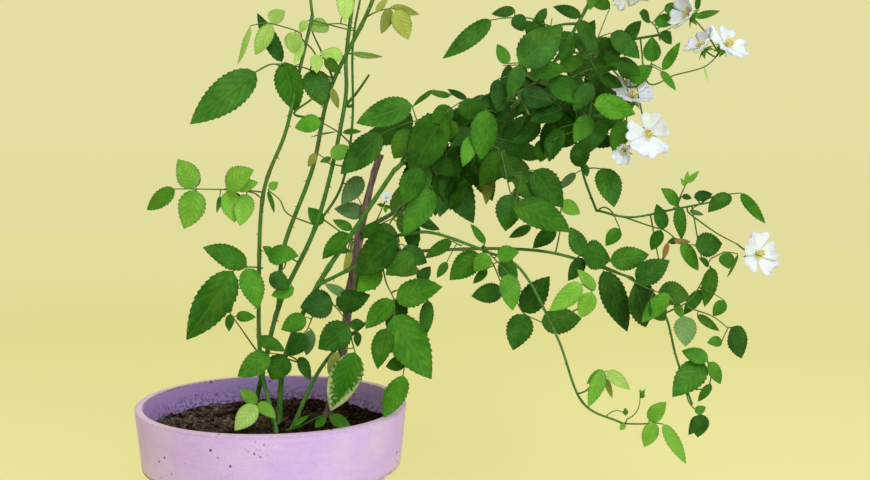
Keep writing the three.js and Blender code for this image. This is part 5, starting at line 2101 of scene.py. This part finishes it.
    def add_stalk(self, curve: Bow | Path, start: float, end: float) -> None:
        """Adds a stem or stalk.

        Args:
            curve: its curve.
            start: its radius at the foot, in millimetres.
            end: its radius at the end.
        """
        length = curve.length if isinstance(curve, Path) else (curve.end - curve.start).length
        self.stalks.add(tube(curve, length, STALK_STEP, STALK_SIDES,
                             lambda share, angle, place: lerp(start, end, share)))

    @staticmethod
    def look(place: Vector) -> Vector:
        """Returns the way that a leaf's upper side looks there."""
        out = clamp((place.y - CROWN_PLANE) / CROWN_DEPTH, -1.0, 1.0)
        return Vector((LOOK_RIGHT, out, LOOK_UP)).normalized()

    def add_leaf(self, mass: Mass, root: Vector, tip: Vector, size: float, chance: Chance) -> bool:
        """Adds one pinnate leaf by the rule.

        Args:
            mass: the mass that it is of.
            root: its foot.
            tip: its point.
            size: the length of its largest leaflet.
            chance: the run of chance.

        Returns:
            Whether any of it has a place.
        """
        share = max(SHORTEST_STALK, 1 - size / (tip - root).length)
        stalk = Bow(root, tip, STALK_BOW).cut(share)
        neck = stalk.end
        looks = self.look(neck)
        along = (tip - neck).normalized()
        looks.rotate(Matrix.Rotation(math.radians(chance(-LEAF_ROLL, LEAF_ROLL)), 3, along))
        if not self.hidden(root, neck):
            return False
        made = self.add_back(mass, neck, along, looks, (tip - neck).length, chance)
        for pair in range(RULE_PAIRS):
            spot = LAST_PAIR_SHARE * (1 - pair / (RULE_PAIRS + BARE_STALK))
            place, tangent = stalk.point(spot), stalk.tangent(spot)
            normal = squared(looks, tangent)
            side = normal.cross(tangent)
            for hand in (-1, 1):
                way = side * hand + tangent * chance(*SIDE_SWEEP) - normal * chance(*SIDE_DROOP)
                length = size * PAIR_SHRINK ** pair * chance(*SIDE_LENGTH)
                foot = place + tangent * hand * PAIR_STAGGER
                made += self.add_back(mass, foot, way.normalized(), normal, length, chance)
        if made:
            self.add_stalk(stalk, *RULED_STALK)
        return made > 0

    def add_back(self, mass: Mass, root: Vector, along: Vector, looks: Vector, length: float,
                 chance: Chance) -> int:
        """Adds a leaflet by the rule, unless it would leave the crown, run through a limb or fill open sky.

        Args:
            mass: the mass that it is of.
            root: its foot.
            along: the way that it points.
            looks: the way that its upper side should look.
            length: its length.
            chance: the run of chance.

        Returns:
            How many leaflets were added, one or none.
        """
        tip = root + along * length
        middle = root.lerp(tip, 0.5)
        inside = all(CROWN_LOW[i] - CROWN_SLACK <= tip[i] <= CROWN_HIGH[i] + CROWN_SLACK for i in range(3))
        near = any((place - middle).length < limb.radii[1] + LIMB_CLEAR
                   for limb in self.limbs.values() for place in limb.path.samples[:-1:LINE_STEP])
        if near or not inside or not self.hidden(root, tip):
            self.skipped += 1
            return 0
        normal = squared(looks, along)
        normal.rotate(Matrix.Rotation(math.radians(chance(-PAIR_ROLL, PAIR_ROLL)), 3, along))
        self.add_blade(mass.name, mass.tone, root, along, normal, length, length * LEAFLET_RATIO, chance)
        return 1

    def add_blade(self, mass: str, tone: Tone, root: Vector, along: Vector, normal: Vector, length: float,
                  width: float, chance: Chance) -> None:
        """Adds one leaflet.

        Args:
            mass: the mass that it is of.
            tone: its tone.
            root: its foot.
            along: the way that it points.
            normal: the way that its upper side looks.
            length: its length.
            width: its width.
            chance: the run of chance.
        """
        small, large = len(SMALL_LEAFLETS), len(LARGE_LEAFLETS)
        first, kinds = (small, large) if length > LARGE_BLADE else (0, small)
        pattern = first + int(chance(0, kinds)) % kinds
        self.blades.setdefault(tone, []).append(Setting(
            root * MM, turned_to(along, normal), Vector((width, length, width)) * MM, pattern, chance(0, 1)))
        self.sprays.setdefault(tone, set()).add(mass)

    def add_bloom(self, mass: Mass, bloom: Bloom, wood: list[Vector]) -> None:
        """Adds a bloom's stalk, from the nearest wood or stalk below it, and notes its place.

        Args:
            mass: the mass that it is of.
            bloom: the bloom.
            wood: places along what can carry it.
        """
        centre = Vector(bloom.centre)
        back = centre - Vector(bloom.face).normalized() * bloom.radius * BLOOM_BACK
        root = min(wood, key=lambda place: (place - back).length_squared)
        self.add_stalk(Bow(root, centre, middle=root.lerp(back, 0.5).lerp(back, BLOOM_BEND)), *BLOOM_STALK)
        self.blooms.append((mass.name, centre, bloom))

    def dress(self) -> None:
        """Builds a piece for each tone of leaf, and one for stems and stalks."""
        shapes = [LeafletShape(*item).mesh() for item in SMALL_LEAFLETS]
        shapes += [LeafletShape(*item, bite=LARGE_BITE).mesh() for item in LARGE_LEAFLETS]
        scatter = Scatter("leaflets", shapes)
        for tone, blades in self.blades.items():
            piece = scatter.realised(
                f"{tone.value.name}lets", blades, tone.value.upper(), tone.value.underside())
            settle(piece, sorted(self.sprays[tone]))
        scatter.discard()
        stalks = put("stalks", self.stalks.mesh("stalks", "bark"), STALK_SKIN.finish())
        settle(stalks, sorted(mass.name for mass in MASSES))


@dataclass
class PetalShape:
    """One petal of unit length: a broad, notched, shallowly cupped blade."""

    seed: int
    columns: int = 6
    rows: int = 6
    cup: float = 0.22
    cup_rise: float = 0.6
    cup_hollow: float = 0.5
    swell: float = 0.7
    narrowing: float = 0.18
    notch: float = 0.17
    rounding: float = 0.2
    ripple: float = 0.05
    ripples: float = 3.1
    thickness: float = 0.012
    foot: float = 0.04

    def place(self, across: float, share: float) -> Vector:
        """Places a point of the petal.

        Args:
            across: how far across it lies, from -1 to 1.
            share: the share of the length.

        Returns:
            The place.
        """
        wide = 0.5 * (share ** self.swell) * (1.0 - self.narrowing * share ** 6)
        notch = self.notch * (1 - abs(across)) ** 2 * share ** 4
        reach = share * (1.0 - notch - self.rounding * across ** 4 * share ** 2)
        ripple = self.ripple * math.sin(self.ripples * across * math.pi + self.seed) * share ** 2
        cup = self.cup * share ** 2 * self.cup_rise + self.cup * self.cup_hollow * across ** 2 * share
        return Vector((wide * across, reach, cup + ripple))

    def mesh(self) -> bpy.types.Mesh:
        """Builds the petal as a thin closed blade.

        Returns:
            The mesh, of unit length and with UVs.
        """
        shape = Shape()
        grid: dict[tuple[int, int, int], int] = {}
        spots: list[Pair] = []
        for layer in (0, 1):
            for row in range(self.rows + 1):
                for column in range(self.columns + 1):
                    share = self.foot + (1 - self.foot) * row / self.rows
                    across = 2 * column / self.columns - 1
                    grid[layer, row, column] = len(shape.vertices)
                    shape.vertices.append(self.place(across, share) - UP * self.thickness * layer)
                    spots.append((0.5 + across / 2, share))

        def face(*keys: tuple[int, int, int]) -> None:
            """Adds a face through grid places, each a layer, a row and a column.

            Args:
                keys: its corners.
            """
            loop = [grid[key] for key in keys]
            shape.faces.append(tuple(loop))
            shape.uvs.extend(spots[i] for i in loop)

        end, last = self.rows, self.columns
        for row in range(self.rows):
            for column in range(self.columns):
                face((0, row, column), (0, row, column + 1), (0, row + 1, column + 1), (0, row + 1, column))
                face((1, row, column), (1, row + 1, column), (1, row + 1, column + 1), (1, row, column + 1))
        for column in range(self.columns):
            face((0, 0, column), (1, 0, column), (1, 0, column + 1), (0, 0, column + 1))
            face((0, end, column), (0, end, column + 1), (1, end, column + 1), (1, end, column))
        for row in range(self.rows):
            face((0, row, 0), (0, row + 1, 0), (1, row + 1, 0), (1, row, 0))
            face((0, row, last), (1, row, last), (1, row + 1, last), (0, row + 1, last))
        return shape.mesh(f"petal_{self.seed}", "blade", 1.0)


@dataclass
class Blossom:
    """Every flower: five petals, a ring of stamens and a green cup of sepals."""

    blooms: Sequence[tuple[str, Vector, Bloom]]
    petals: int = 5
    stamens: int = 26
    bud_below: float = 6.0
    last: str = "heart_low"
    seed: int = 77
    petal_seeds: Sequence[int] = (1, 2, 3)
    stamen_seeds: Sequence[int] = (1, 2)
    sepal_seeds: Sequence[int] = (11, 12)
    first_turn: Pair = (0.0, 2.0)
    petal_turn: Pair = (-0.2, 0.2)
    petal_lift: Pair = (-0.02, 0.4)
    petal_size: Pair = (0.86, 1.08)
    petal_width: Pair = (0.96, 1.16)
    cup_back: float = 1.2
    sepal_length: float = 0.55
    sepal_width: float = 0.55
    sepal_turn: float = 0.6
    sepal_drop: float = 0.5
    sepal_teeth: int = 4
    sepal_widest: float = 0.3
    bud_length: float = 2.6
    bud_lift: float = 1.35
    stamen_lift: Pair = (0.6, 1.35)
    stamen_size: Pair = (0.24, 0.4)
    stamen_foot: float = 0.6
    stamen_bend: float = 0.12
    stamen_step: float = 0.2
    stamen_sides: int = 4
    filament: float = 0.028
    anther: float = 0.085
    anther_start: float = 0.75

    @staticmethod
    def turned(face: Vector, angle: float, lift: float) -> Vector:
        """Finds the turn of what stands out from a flower's middle.

        Args:
            face: the way that the flower faces.
            angle: the angle round it.
            lift: how far the part is raised from flat, in radians.

        Returns:
            The turn.
        """
        across = squared(UP, face)
        side = across.cross(face)
        out = (across * math.cos(angle) + side * math.sin(angle)).normalized()
        along = (out * math.cos(lift) + face * math.sin(lift)).normalized()
        return turned_to(along, squared(face, along))

    def dress(self) -> None:
        """Builds the petals, the stamens and the sepals."""
        chance = Chance(self.seed)
        petals, stamens, sepals = [], [], []
        names = sorted({name for name, *_ in self.blooms})
        for _, centre, bloom in sorted(self.blooms, key=lambda item: item[0] == self.last):
            radius, face = bloom.radius, Vector(bloom.face).normalized()
            bud = radius < self.bud_below
            cup = centre - face * (radius * self.cup_back if bud else self.cup_back)
            length = radius * (self.bud_length if bud else self.sepal_length)
            first = chance(*self.first_turn)
            for i in range(self.petals):
                angle = first + 2 * math.pi * i / self.petals + chance(*self.petal_turn)
                if not bud:
                    turn = self.turned(face, angle, chance(*self.petal_lift) + bloom.closed)
                    size = radius * chance(*self.petal_size)
                    sides = Vector((size * chance(*self.petal_width), size, size))
                    petals.append(Setting(centre * MM, turn, sides * MM, i % len(self.petal_seeds)))
                lift = self.bud_lift if bud else bloom.closed - self.sepal_drop
                turn = self.turned(face, angle + self.sepal_turn, lift)
                sides = Vector((length * self.sepal_width, length, length))
                sepals.append(Setting(cup * MM, turn, sides * MM, i % len(self.sepal_seeds)))
            for i in range(0 if bud else self.stamens):
                turn = self.turned(face, 2 * math.pi * i / self.stamens, chance(*self.stamen_lift))
                size = radius * chance(*self.stamen_size)
                foot = centre + face * self.stamen_foot
                sides = Vector((size, size, size))
                stamens.append(Setting(foot * MM, turn, sides * MM, i % len(self.stamen_seeds)))
        strew("petals", petals, [PetalShape(seed).mesh() for seed in self.petal_seeds],
              material("petal_white", PetalWhite().dress), names)
        strew("stamens", stamens, [self.stamen(seed) for seed in self.stamen_seeds],
              material("anther_gold", AntherGold().dress), names)
        shapes = [LeafletShape(seed, self.sepal_teeth, widest=self.sepal_widest).mesh()
                  for seed in self.sepal_seeds]
        strew("sepals", sepals, shapes, Tone.BRIGHT.value.upper(), names)

    def stamen(self, seed: int) -> bpy.types.Mesh:
        """Makes a filament with its anther.

        Args:
            seed: which of the stamens it is.

        Returns:
            The mesh, of unit length.
        """
        bend = self.stamen_bend * seed
        stem = Bow(Vector((0, 0, 0)), Vector((0, 1, bend)), middle=Vector((0, 0.5, -bend)))
        shape = tube(stem, 1.0, self.stamen_step, self.stamen_sides,
                     lambda share, angle, place: self.filament if share < self.anther_start else self.anther)
        return shape.mesh(f"stamen_{seed}", "blade", 1.0)


# Pot and soil


def lathe(profile: Sequence[Pair], sides: int, sway: Callable[[float, Vector], Vector]) -> Shape:
    """Turns a profile about the upright axis into a closed skin.

    Args:
        profile: radius and height pairs, from the axis below to the axis above.
        sides: the number of sides.
        sway: moves a vertex, given its angle.

    Returns:
        The turned shape.
    """
    shape = Shape()
    rings: list[list[int]] = []
    for radius, height in profile:
        ring = []
        for i in range(1 if radius == 0 else sides):
            angle = 2 * math.pi * i / sides
            ring.append(len(shape.vertices))
            place = Vector((radius * math.cos(angle), radius * math.sin(angle), height))
            shape.vertices.append(sway(angle, place))
        rings.append(ring)
    for low, high in zip(rings, rings[1:]):
        for i in range(sides):
            j = (i + 1) % sides
            loop = (low[i % len(low)], low[j % len(low)], high[j % len(high)], high[i % len(high)])
            shape.faces.append(tuple(dict.fromkeys(loop)))
    return shape


@dataclass
class Pot:
    """The painted clay pot with its collared rim, a little out of true as if thrown by hand."""

    sides: int = 144
    rounding: float = 1.5
    most_cut: float = 0.45
    steps: int = 4
    body_rings: int = 6
    collar_rings: int = 4
    inner_heights: Sequence[float] = (182.0, 165.0, COLLAR_FOOT, 90.0, FLOOR)
    true_below: float = 1.0
    wobble: Pair = (0.35, 0.2)
    wobble_turn: float = 0.6
    dent_scale: float = 0.03
    shrink: float = 0.5
    lip_depth: float = 5.0
    lip_sway: float = 0.3

    def inner(self, height: float) -> float:
        """Finds the inner wall's radius.

        Args:
            height: the height, in millimetres.

        Returns:
            The radius, in millimetres.
        """
        if height < COLLAR_FOOT:
            return lerp(FOOT_RADIUS, BODY_TOP_RADIUS, height / COLLAR_FOOT) - WALL
        return lerp(BODY_TOP_RADIUS, RIM_RADIUS, (height - COLLAR_FOOT) / COLLAR_HEIGHT) - WALL

    def rounded(self, corners: Sequence[Pair]) -> list[Pair]:
        """Rounds every corner of a profile but its ends.

        Args:
            corners: the profile.

        Returns:
            The rounded profile.
        """
        made = [corners[0]]
        for before, corner, after in zip(corners, corners[1:], corners[2:]):
            here = Vector(corner)
            back, on = Vector(before) - here, Vector(after) - here
            radius = min(self.rounding, back.length * self.most_cut, on.length * self.most_cut)
            start, end = here + back.normalized() * radius, here + on.normalized() * radius
            for i in range(self.steps + 1):
                share = i / self.steps
                made.append(tuple(start.lerp(here, share).lerp(here.lerp(end, share), share)))
        return [*made, corners[-1]]

    def sway(self, angle: float, place: Vector) -> Vector:
        """Moves a vertex a little out of true.

        Args:
            angle: the angle round the axis.
            place: where the true shape has it.

        Returns:
            Where it goes.
        """
        if place.z < self.true_below:
            return place
        oval, dent = math.sin(2 * angle + self.wobble_turn), noise.noise(place * self.dent_scale)
        wobble = self.wobble[0] * oval + self.wobble[1] * dent
        out = Vector((math.cos(angle), math.sin(angle), 0.0))
        lift = self.lip_sway * math.sin(3 * angle) - self.lip_sway
        return place + out * (wobble - self.shrink) + UP * lift * (place.z > POT_HEIGHT - self.lip_depth)

    def dress(self) -> None:
        """Builds the pot and fixes it to the frame."""
        corners = [(0, 0), (FOOT_RADIUS, 0)]
        for i in range(1, self.body_rings + 1):
            share = i / self.body_rings
            corners.append((lerp(FOOT_RADIUS, BODY_TOP_RADIUS, share), COLLAR_FOOT * share))
        for i in range(self.collar_rings + 1):
            share = i / self.collar_rings
            radius = lerp(COLLAR_FOOT_RADIUS, RIM_RADIUS, share)
            corners.append((radius, lerp(COLLAR_FOOT, POT_HEIGHT, share)))
        corners += [(self.inner(height), height) for height in (POT_HEIGHT, *self.inner_heights)]
        shape = lathe(self.rounded([*corners, (0, FLOOR)]), self.sides, self.sway)
        clay = material("painted_clay", PaintedClay().dress)
        settle(put("clay_pot", shape.mesh("clay_pot"), clay), ["pot"])


@dataclass
class Soil:
    """The soil's lumpy top and the crumbs that lie on it."""

    sides: int = 120
    rings: int = 42
    crumbs: int = 1100
    top_gap: float = 1.0
    edge_rise: float = 1.5
    edge_power: int = 6
    settled: float = 0.5
    crumb_inset: float = 3.0
    least_crumb: float = 0.8
    crumb_spread: float = 3.0
    crumb_kinds: int = 3
    crumb_seed: int = 5
    crumb_lift: float = 0.15
    crumb_turn: Pair = (0.0, 6.0)
    crumb_width: Pair = (0.6, 1.0)
    crumb_height: Pair = (0.5, 0.9)
    crumb_sides: int = 6
    crumb_profile: Sequence[Pair] = ((0, -1.0), (0.8, -0.5), (1.0, 0.2), (0.6, 0.8), (0, 1.0))
    crumb_jag: float = 0.35
    crumb_grain: float = 1.3
    crumb_shift: float = 7.0
    lump_grain: float = 0.09
    lump_settings: tuple[float, float, int] = (0.9, 2.1, 5)
    lump_height: float = 2.6
    swell_grain: float = 0.022
    swell_height: float = 3.0

    def edge(self, height: float) -> float:
        """Returns the radius where the soil meets the pot."""
        return Pot().inner(height) - SOIL_GAP

    def level(self, place: Vector) -> float:
        """Finds the height of the soil's top.

        Args:
            place: the place, at height 0.

        Returns:
            The height, in millimetres.
        """
        lumps = noise.fractal(place * self.lump_grain, *self.lump_settings) * self.lump_height
        lumps += noise.noise(place * self.swell_grain) * self.swell_height
        reach = Vector((place.x, place.y)).length / self.edge(SOIL_LEVEL)
        return SOIL_LEVEL + lumps + self.edge_rise * clamp(reach) ** self.edge_power - self.settled

    def sway(self, _: float, place: Vector) -> Vector:
        """Lifts a vertex of the flat top to the soil's own height.

        Args:
            _: the angle round the axis, which isn't used.
            place: where the flat top has it.

        Returns:
            Where it goes.
        """
        if place.z < SOIL_LEVEL:
            return place
        return Vector((place.x, place.y, self.level(Vector((place.x, place.y, 0.0)))))

    def dress(self) -> None:
        """Builds the soil and its crumbs, and fixes them to the frame."""
        top = self.edge(SOIL_LEVEL) - self.top_gap
        foot = FLOOR + SOIL_GAP
        profile = [(0, foot), (self.edge(FLOOR), foot), (self.edge(COLLAR_FOOT), COLLAR_FOOT)]
        profile += [(top * (1 - i / self.rings), SOIL_LEVEL) for i in range(self.rings + 1)]
        finish = material("damp_soil", DampSoil().dress)
        shape = lathe(profile, self.sides, self.sway)
        settle(put("soil_bed", shape.mesh("soil_bed"), finish), ["soil"])
        self.dress_crumbs(top - self.crumb_inset, finish)

    def dress_crumbs(self, reach: float, finish: bpy.types.Material) -> None:
        """Scatters the crumbs.

        Args:
            reach: how far out they may lie, in millimetres.
            finish: their material.
        """
        chance = Chance(self.crumb_seed)
        settings = []
        for index in range(self.crumbs):
            angle, out = chance(0, 2 * math.pi), reach * math.sqrt(chance(0, 1))
            spot = Vector((out * math.cos(angle), out * math.sin(angle), 0.0))
            size = self.least_crumb + self.crumb_spread * chance(0, 1) ** 3
            place = Vector((spot.x, spot.y, self.level(spot) + size * self.crumb_lift))
            turn = Vector([chance(*self.crumb_turn) for _ in range(3)])
            sides = Vector((size, size * chance(*self.crumb_width), size * chance(*self.crumb_height)))
            settings.append(Setting(place * MM, turn, sides * MM, index % self.crumb_kinds))
        shapes = [self.crumb(seed) for seed in range(self.crumb_kinds)]
        strew("soil_crumbs", settings, shapes, finish)

    def crumb(self, seed: int) -> bpy.types.Mesh:
        """Makes one jagged crumb.

        Args:
            seed: which of the crumbs it is.

        Returns:
            The mesh, of unit radius.
        """
        start = Vector((seed * self.crumb_shift, 0, 0))

        def jagged(_: float, place: Vector) -> Vector:
            """Returns a vertex pushed in or out."""
            return place * (1.0 + self.crumb_jag * noise.noise(place * self.crumb_grain + start))

        shape = lathe(self.crumb_profile, self.crumb_sides, jagged)
        return shape.mesh(f"crumb_{seed}", "", 1.0, smooth=False)


# Studio


@dataclass(frozen=True)
class Lamp:
    """A square area light: its place and side in metres, its power in watts and its colour."""

    name: str
    place: Triple
    power: float
    side: float
    colour: Triple

    def light(self, aim: Triple) -> None:
        """Adds the light, facing a point.

        Args:
            aim: the point that it faces.
        """
        data = bpy.data.lights.new(self.name, "AREA")
        data.energy, data.size, data.color = self.power, self.side, self.colour
        made = bpy.data.objects.new(self.name, data)
        made.location = self.place
        made.rotation_euler = (Vector(aim) - Vector(self.place)).to_track_quat("-Z", "Y").to_euler()
        bpy.context.scene.collection.objects.link(made)


LAMPS = [
    Lamp("key", (0.6, -2.1, 1.6), 30.0, 1.0, (0.93, 0.95, 1.0)),
    Lamp("fill", (2.0, -1.0, 0.8), 7.0, 1.4, (0.88, 0.93, 1.0)),
    Lamp("rim", (0.1, 0.7, 2.2), 5.0, 0.8, (1.0, 0.98, 0.92)),
]


@dataclass(frozen=True)
class Studio:
    """The pale floor, the soft lights and the camera."""

    floor_reach: float = 40.0
    sky: str = "f2edae"
    sky_strength: float = 0.87
    aim: Triple = (0.12, 0.0, 0.38)
    sensor: float = 36.0
    clip: Pair = (0.05, 100.0)
    level: float = 90.0

    def _lay_floor(self) -> None:
        """Adds the floor."""
        reach = self.floor_reach
        mesh = bpy.data.meshes.new("floor")
        mesh.from_pydata([(-reach, -reach, 0), (reach, -reach, 0), (reach, reach, 0), (-reach, reach, 0)],
                         [], [(0, 1, 2, 3)])
        put("floor", mesh, material("pale_floor", PaleFloor().dress))

    def _light(self) -> None:
        """Sets the world's light and the lamps."""
        world = bpy.data.worlds.new("studio")
        bpy.context.scene.world = world
        world.use_nodes = True
        background = world.node_tree.nodes["Background"]
        background.inputs["Color"].default_value = linear(self.sky)
        background.inputs["Strength"].default_value = self.sky_strength
        for lamp in LAMPS:
            lamp.light(self.aim)

    def _aim_camera(self) -> None:
        """Adds the camera at the photo's view."""
        data = bpy.data.cameras.new("camera")
        data.sensor_width = self.sensor
        data.lens = self.sensor * SIGHT.focal / SIGHT.width
        data.clip_start, data.clip_end = self.clip
        camera = bpy.data.objects.new("camera", data)
        camera.location = Vector(SIGHT.place) * MM
        camera.rotation_euler = (math.radians(self.level - SIGHT.pitch), 0.0, 0.0)
        bpy.context.scene.collection.objects.link(camera)
        bpy.context.scene.camera = camera
        bpy.context.scene.view_settings.view_transform = "Standard"

    def build(self) -> None:
        """Adds floor, world, lights and camera."""
        self._lay_floor()
        self._light()
        self._aim_camera()


def main() -> None:
    """Builds the studio, the pot, the soil and the plant."""
    logging.basicConfig(level=logging.INFO, format="%(name)s %(message)s")
    Studio().build()
    Pot().dress()
    Soil().dress()
    canes = Canes()
    canes.grow()
    canes.dress()
    Prickles(canes.limbs).dress()
    foliage = Foliage(canes.limbs)
    foliage.grow()
    foliage.dress()
    Blossom(foliage.blooms).dress()


if __name__ == "__main__":
    main()
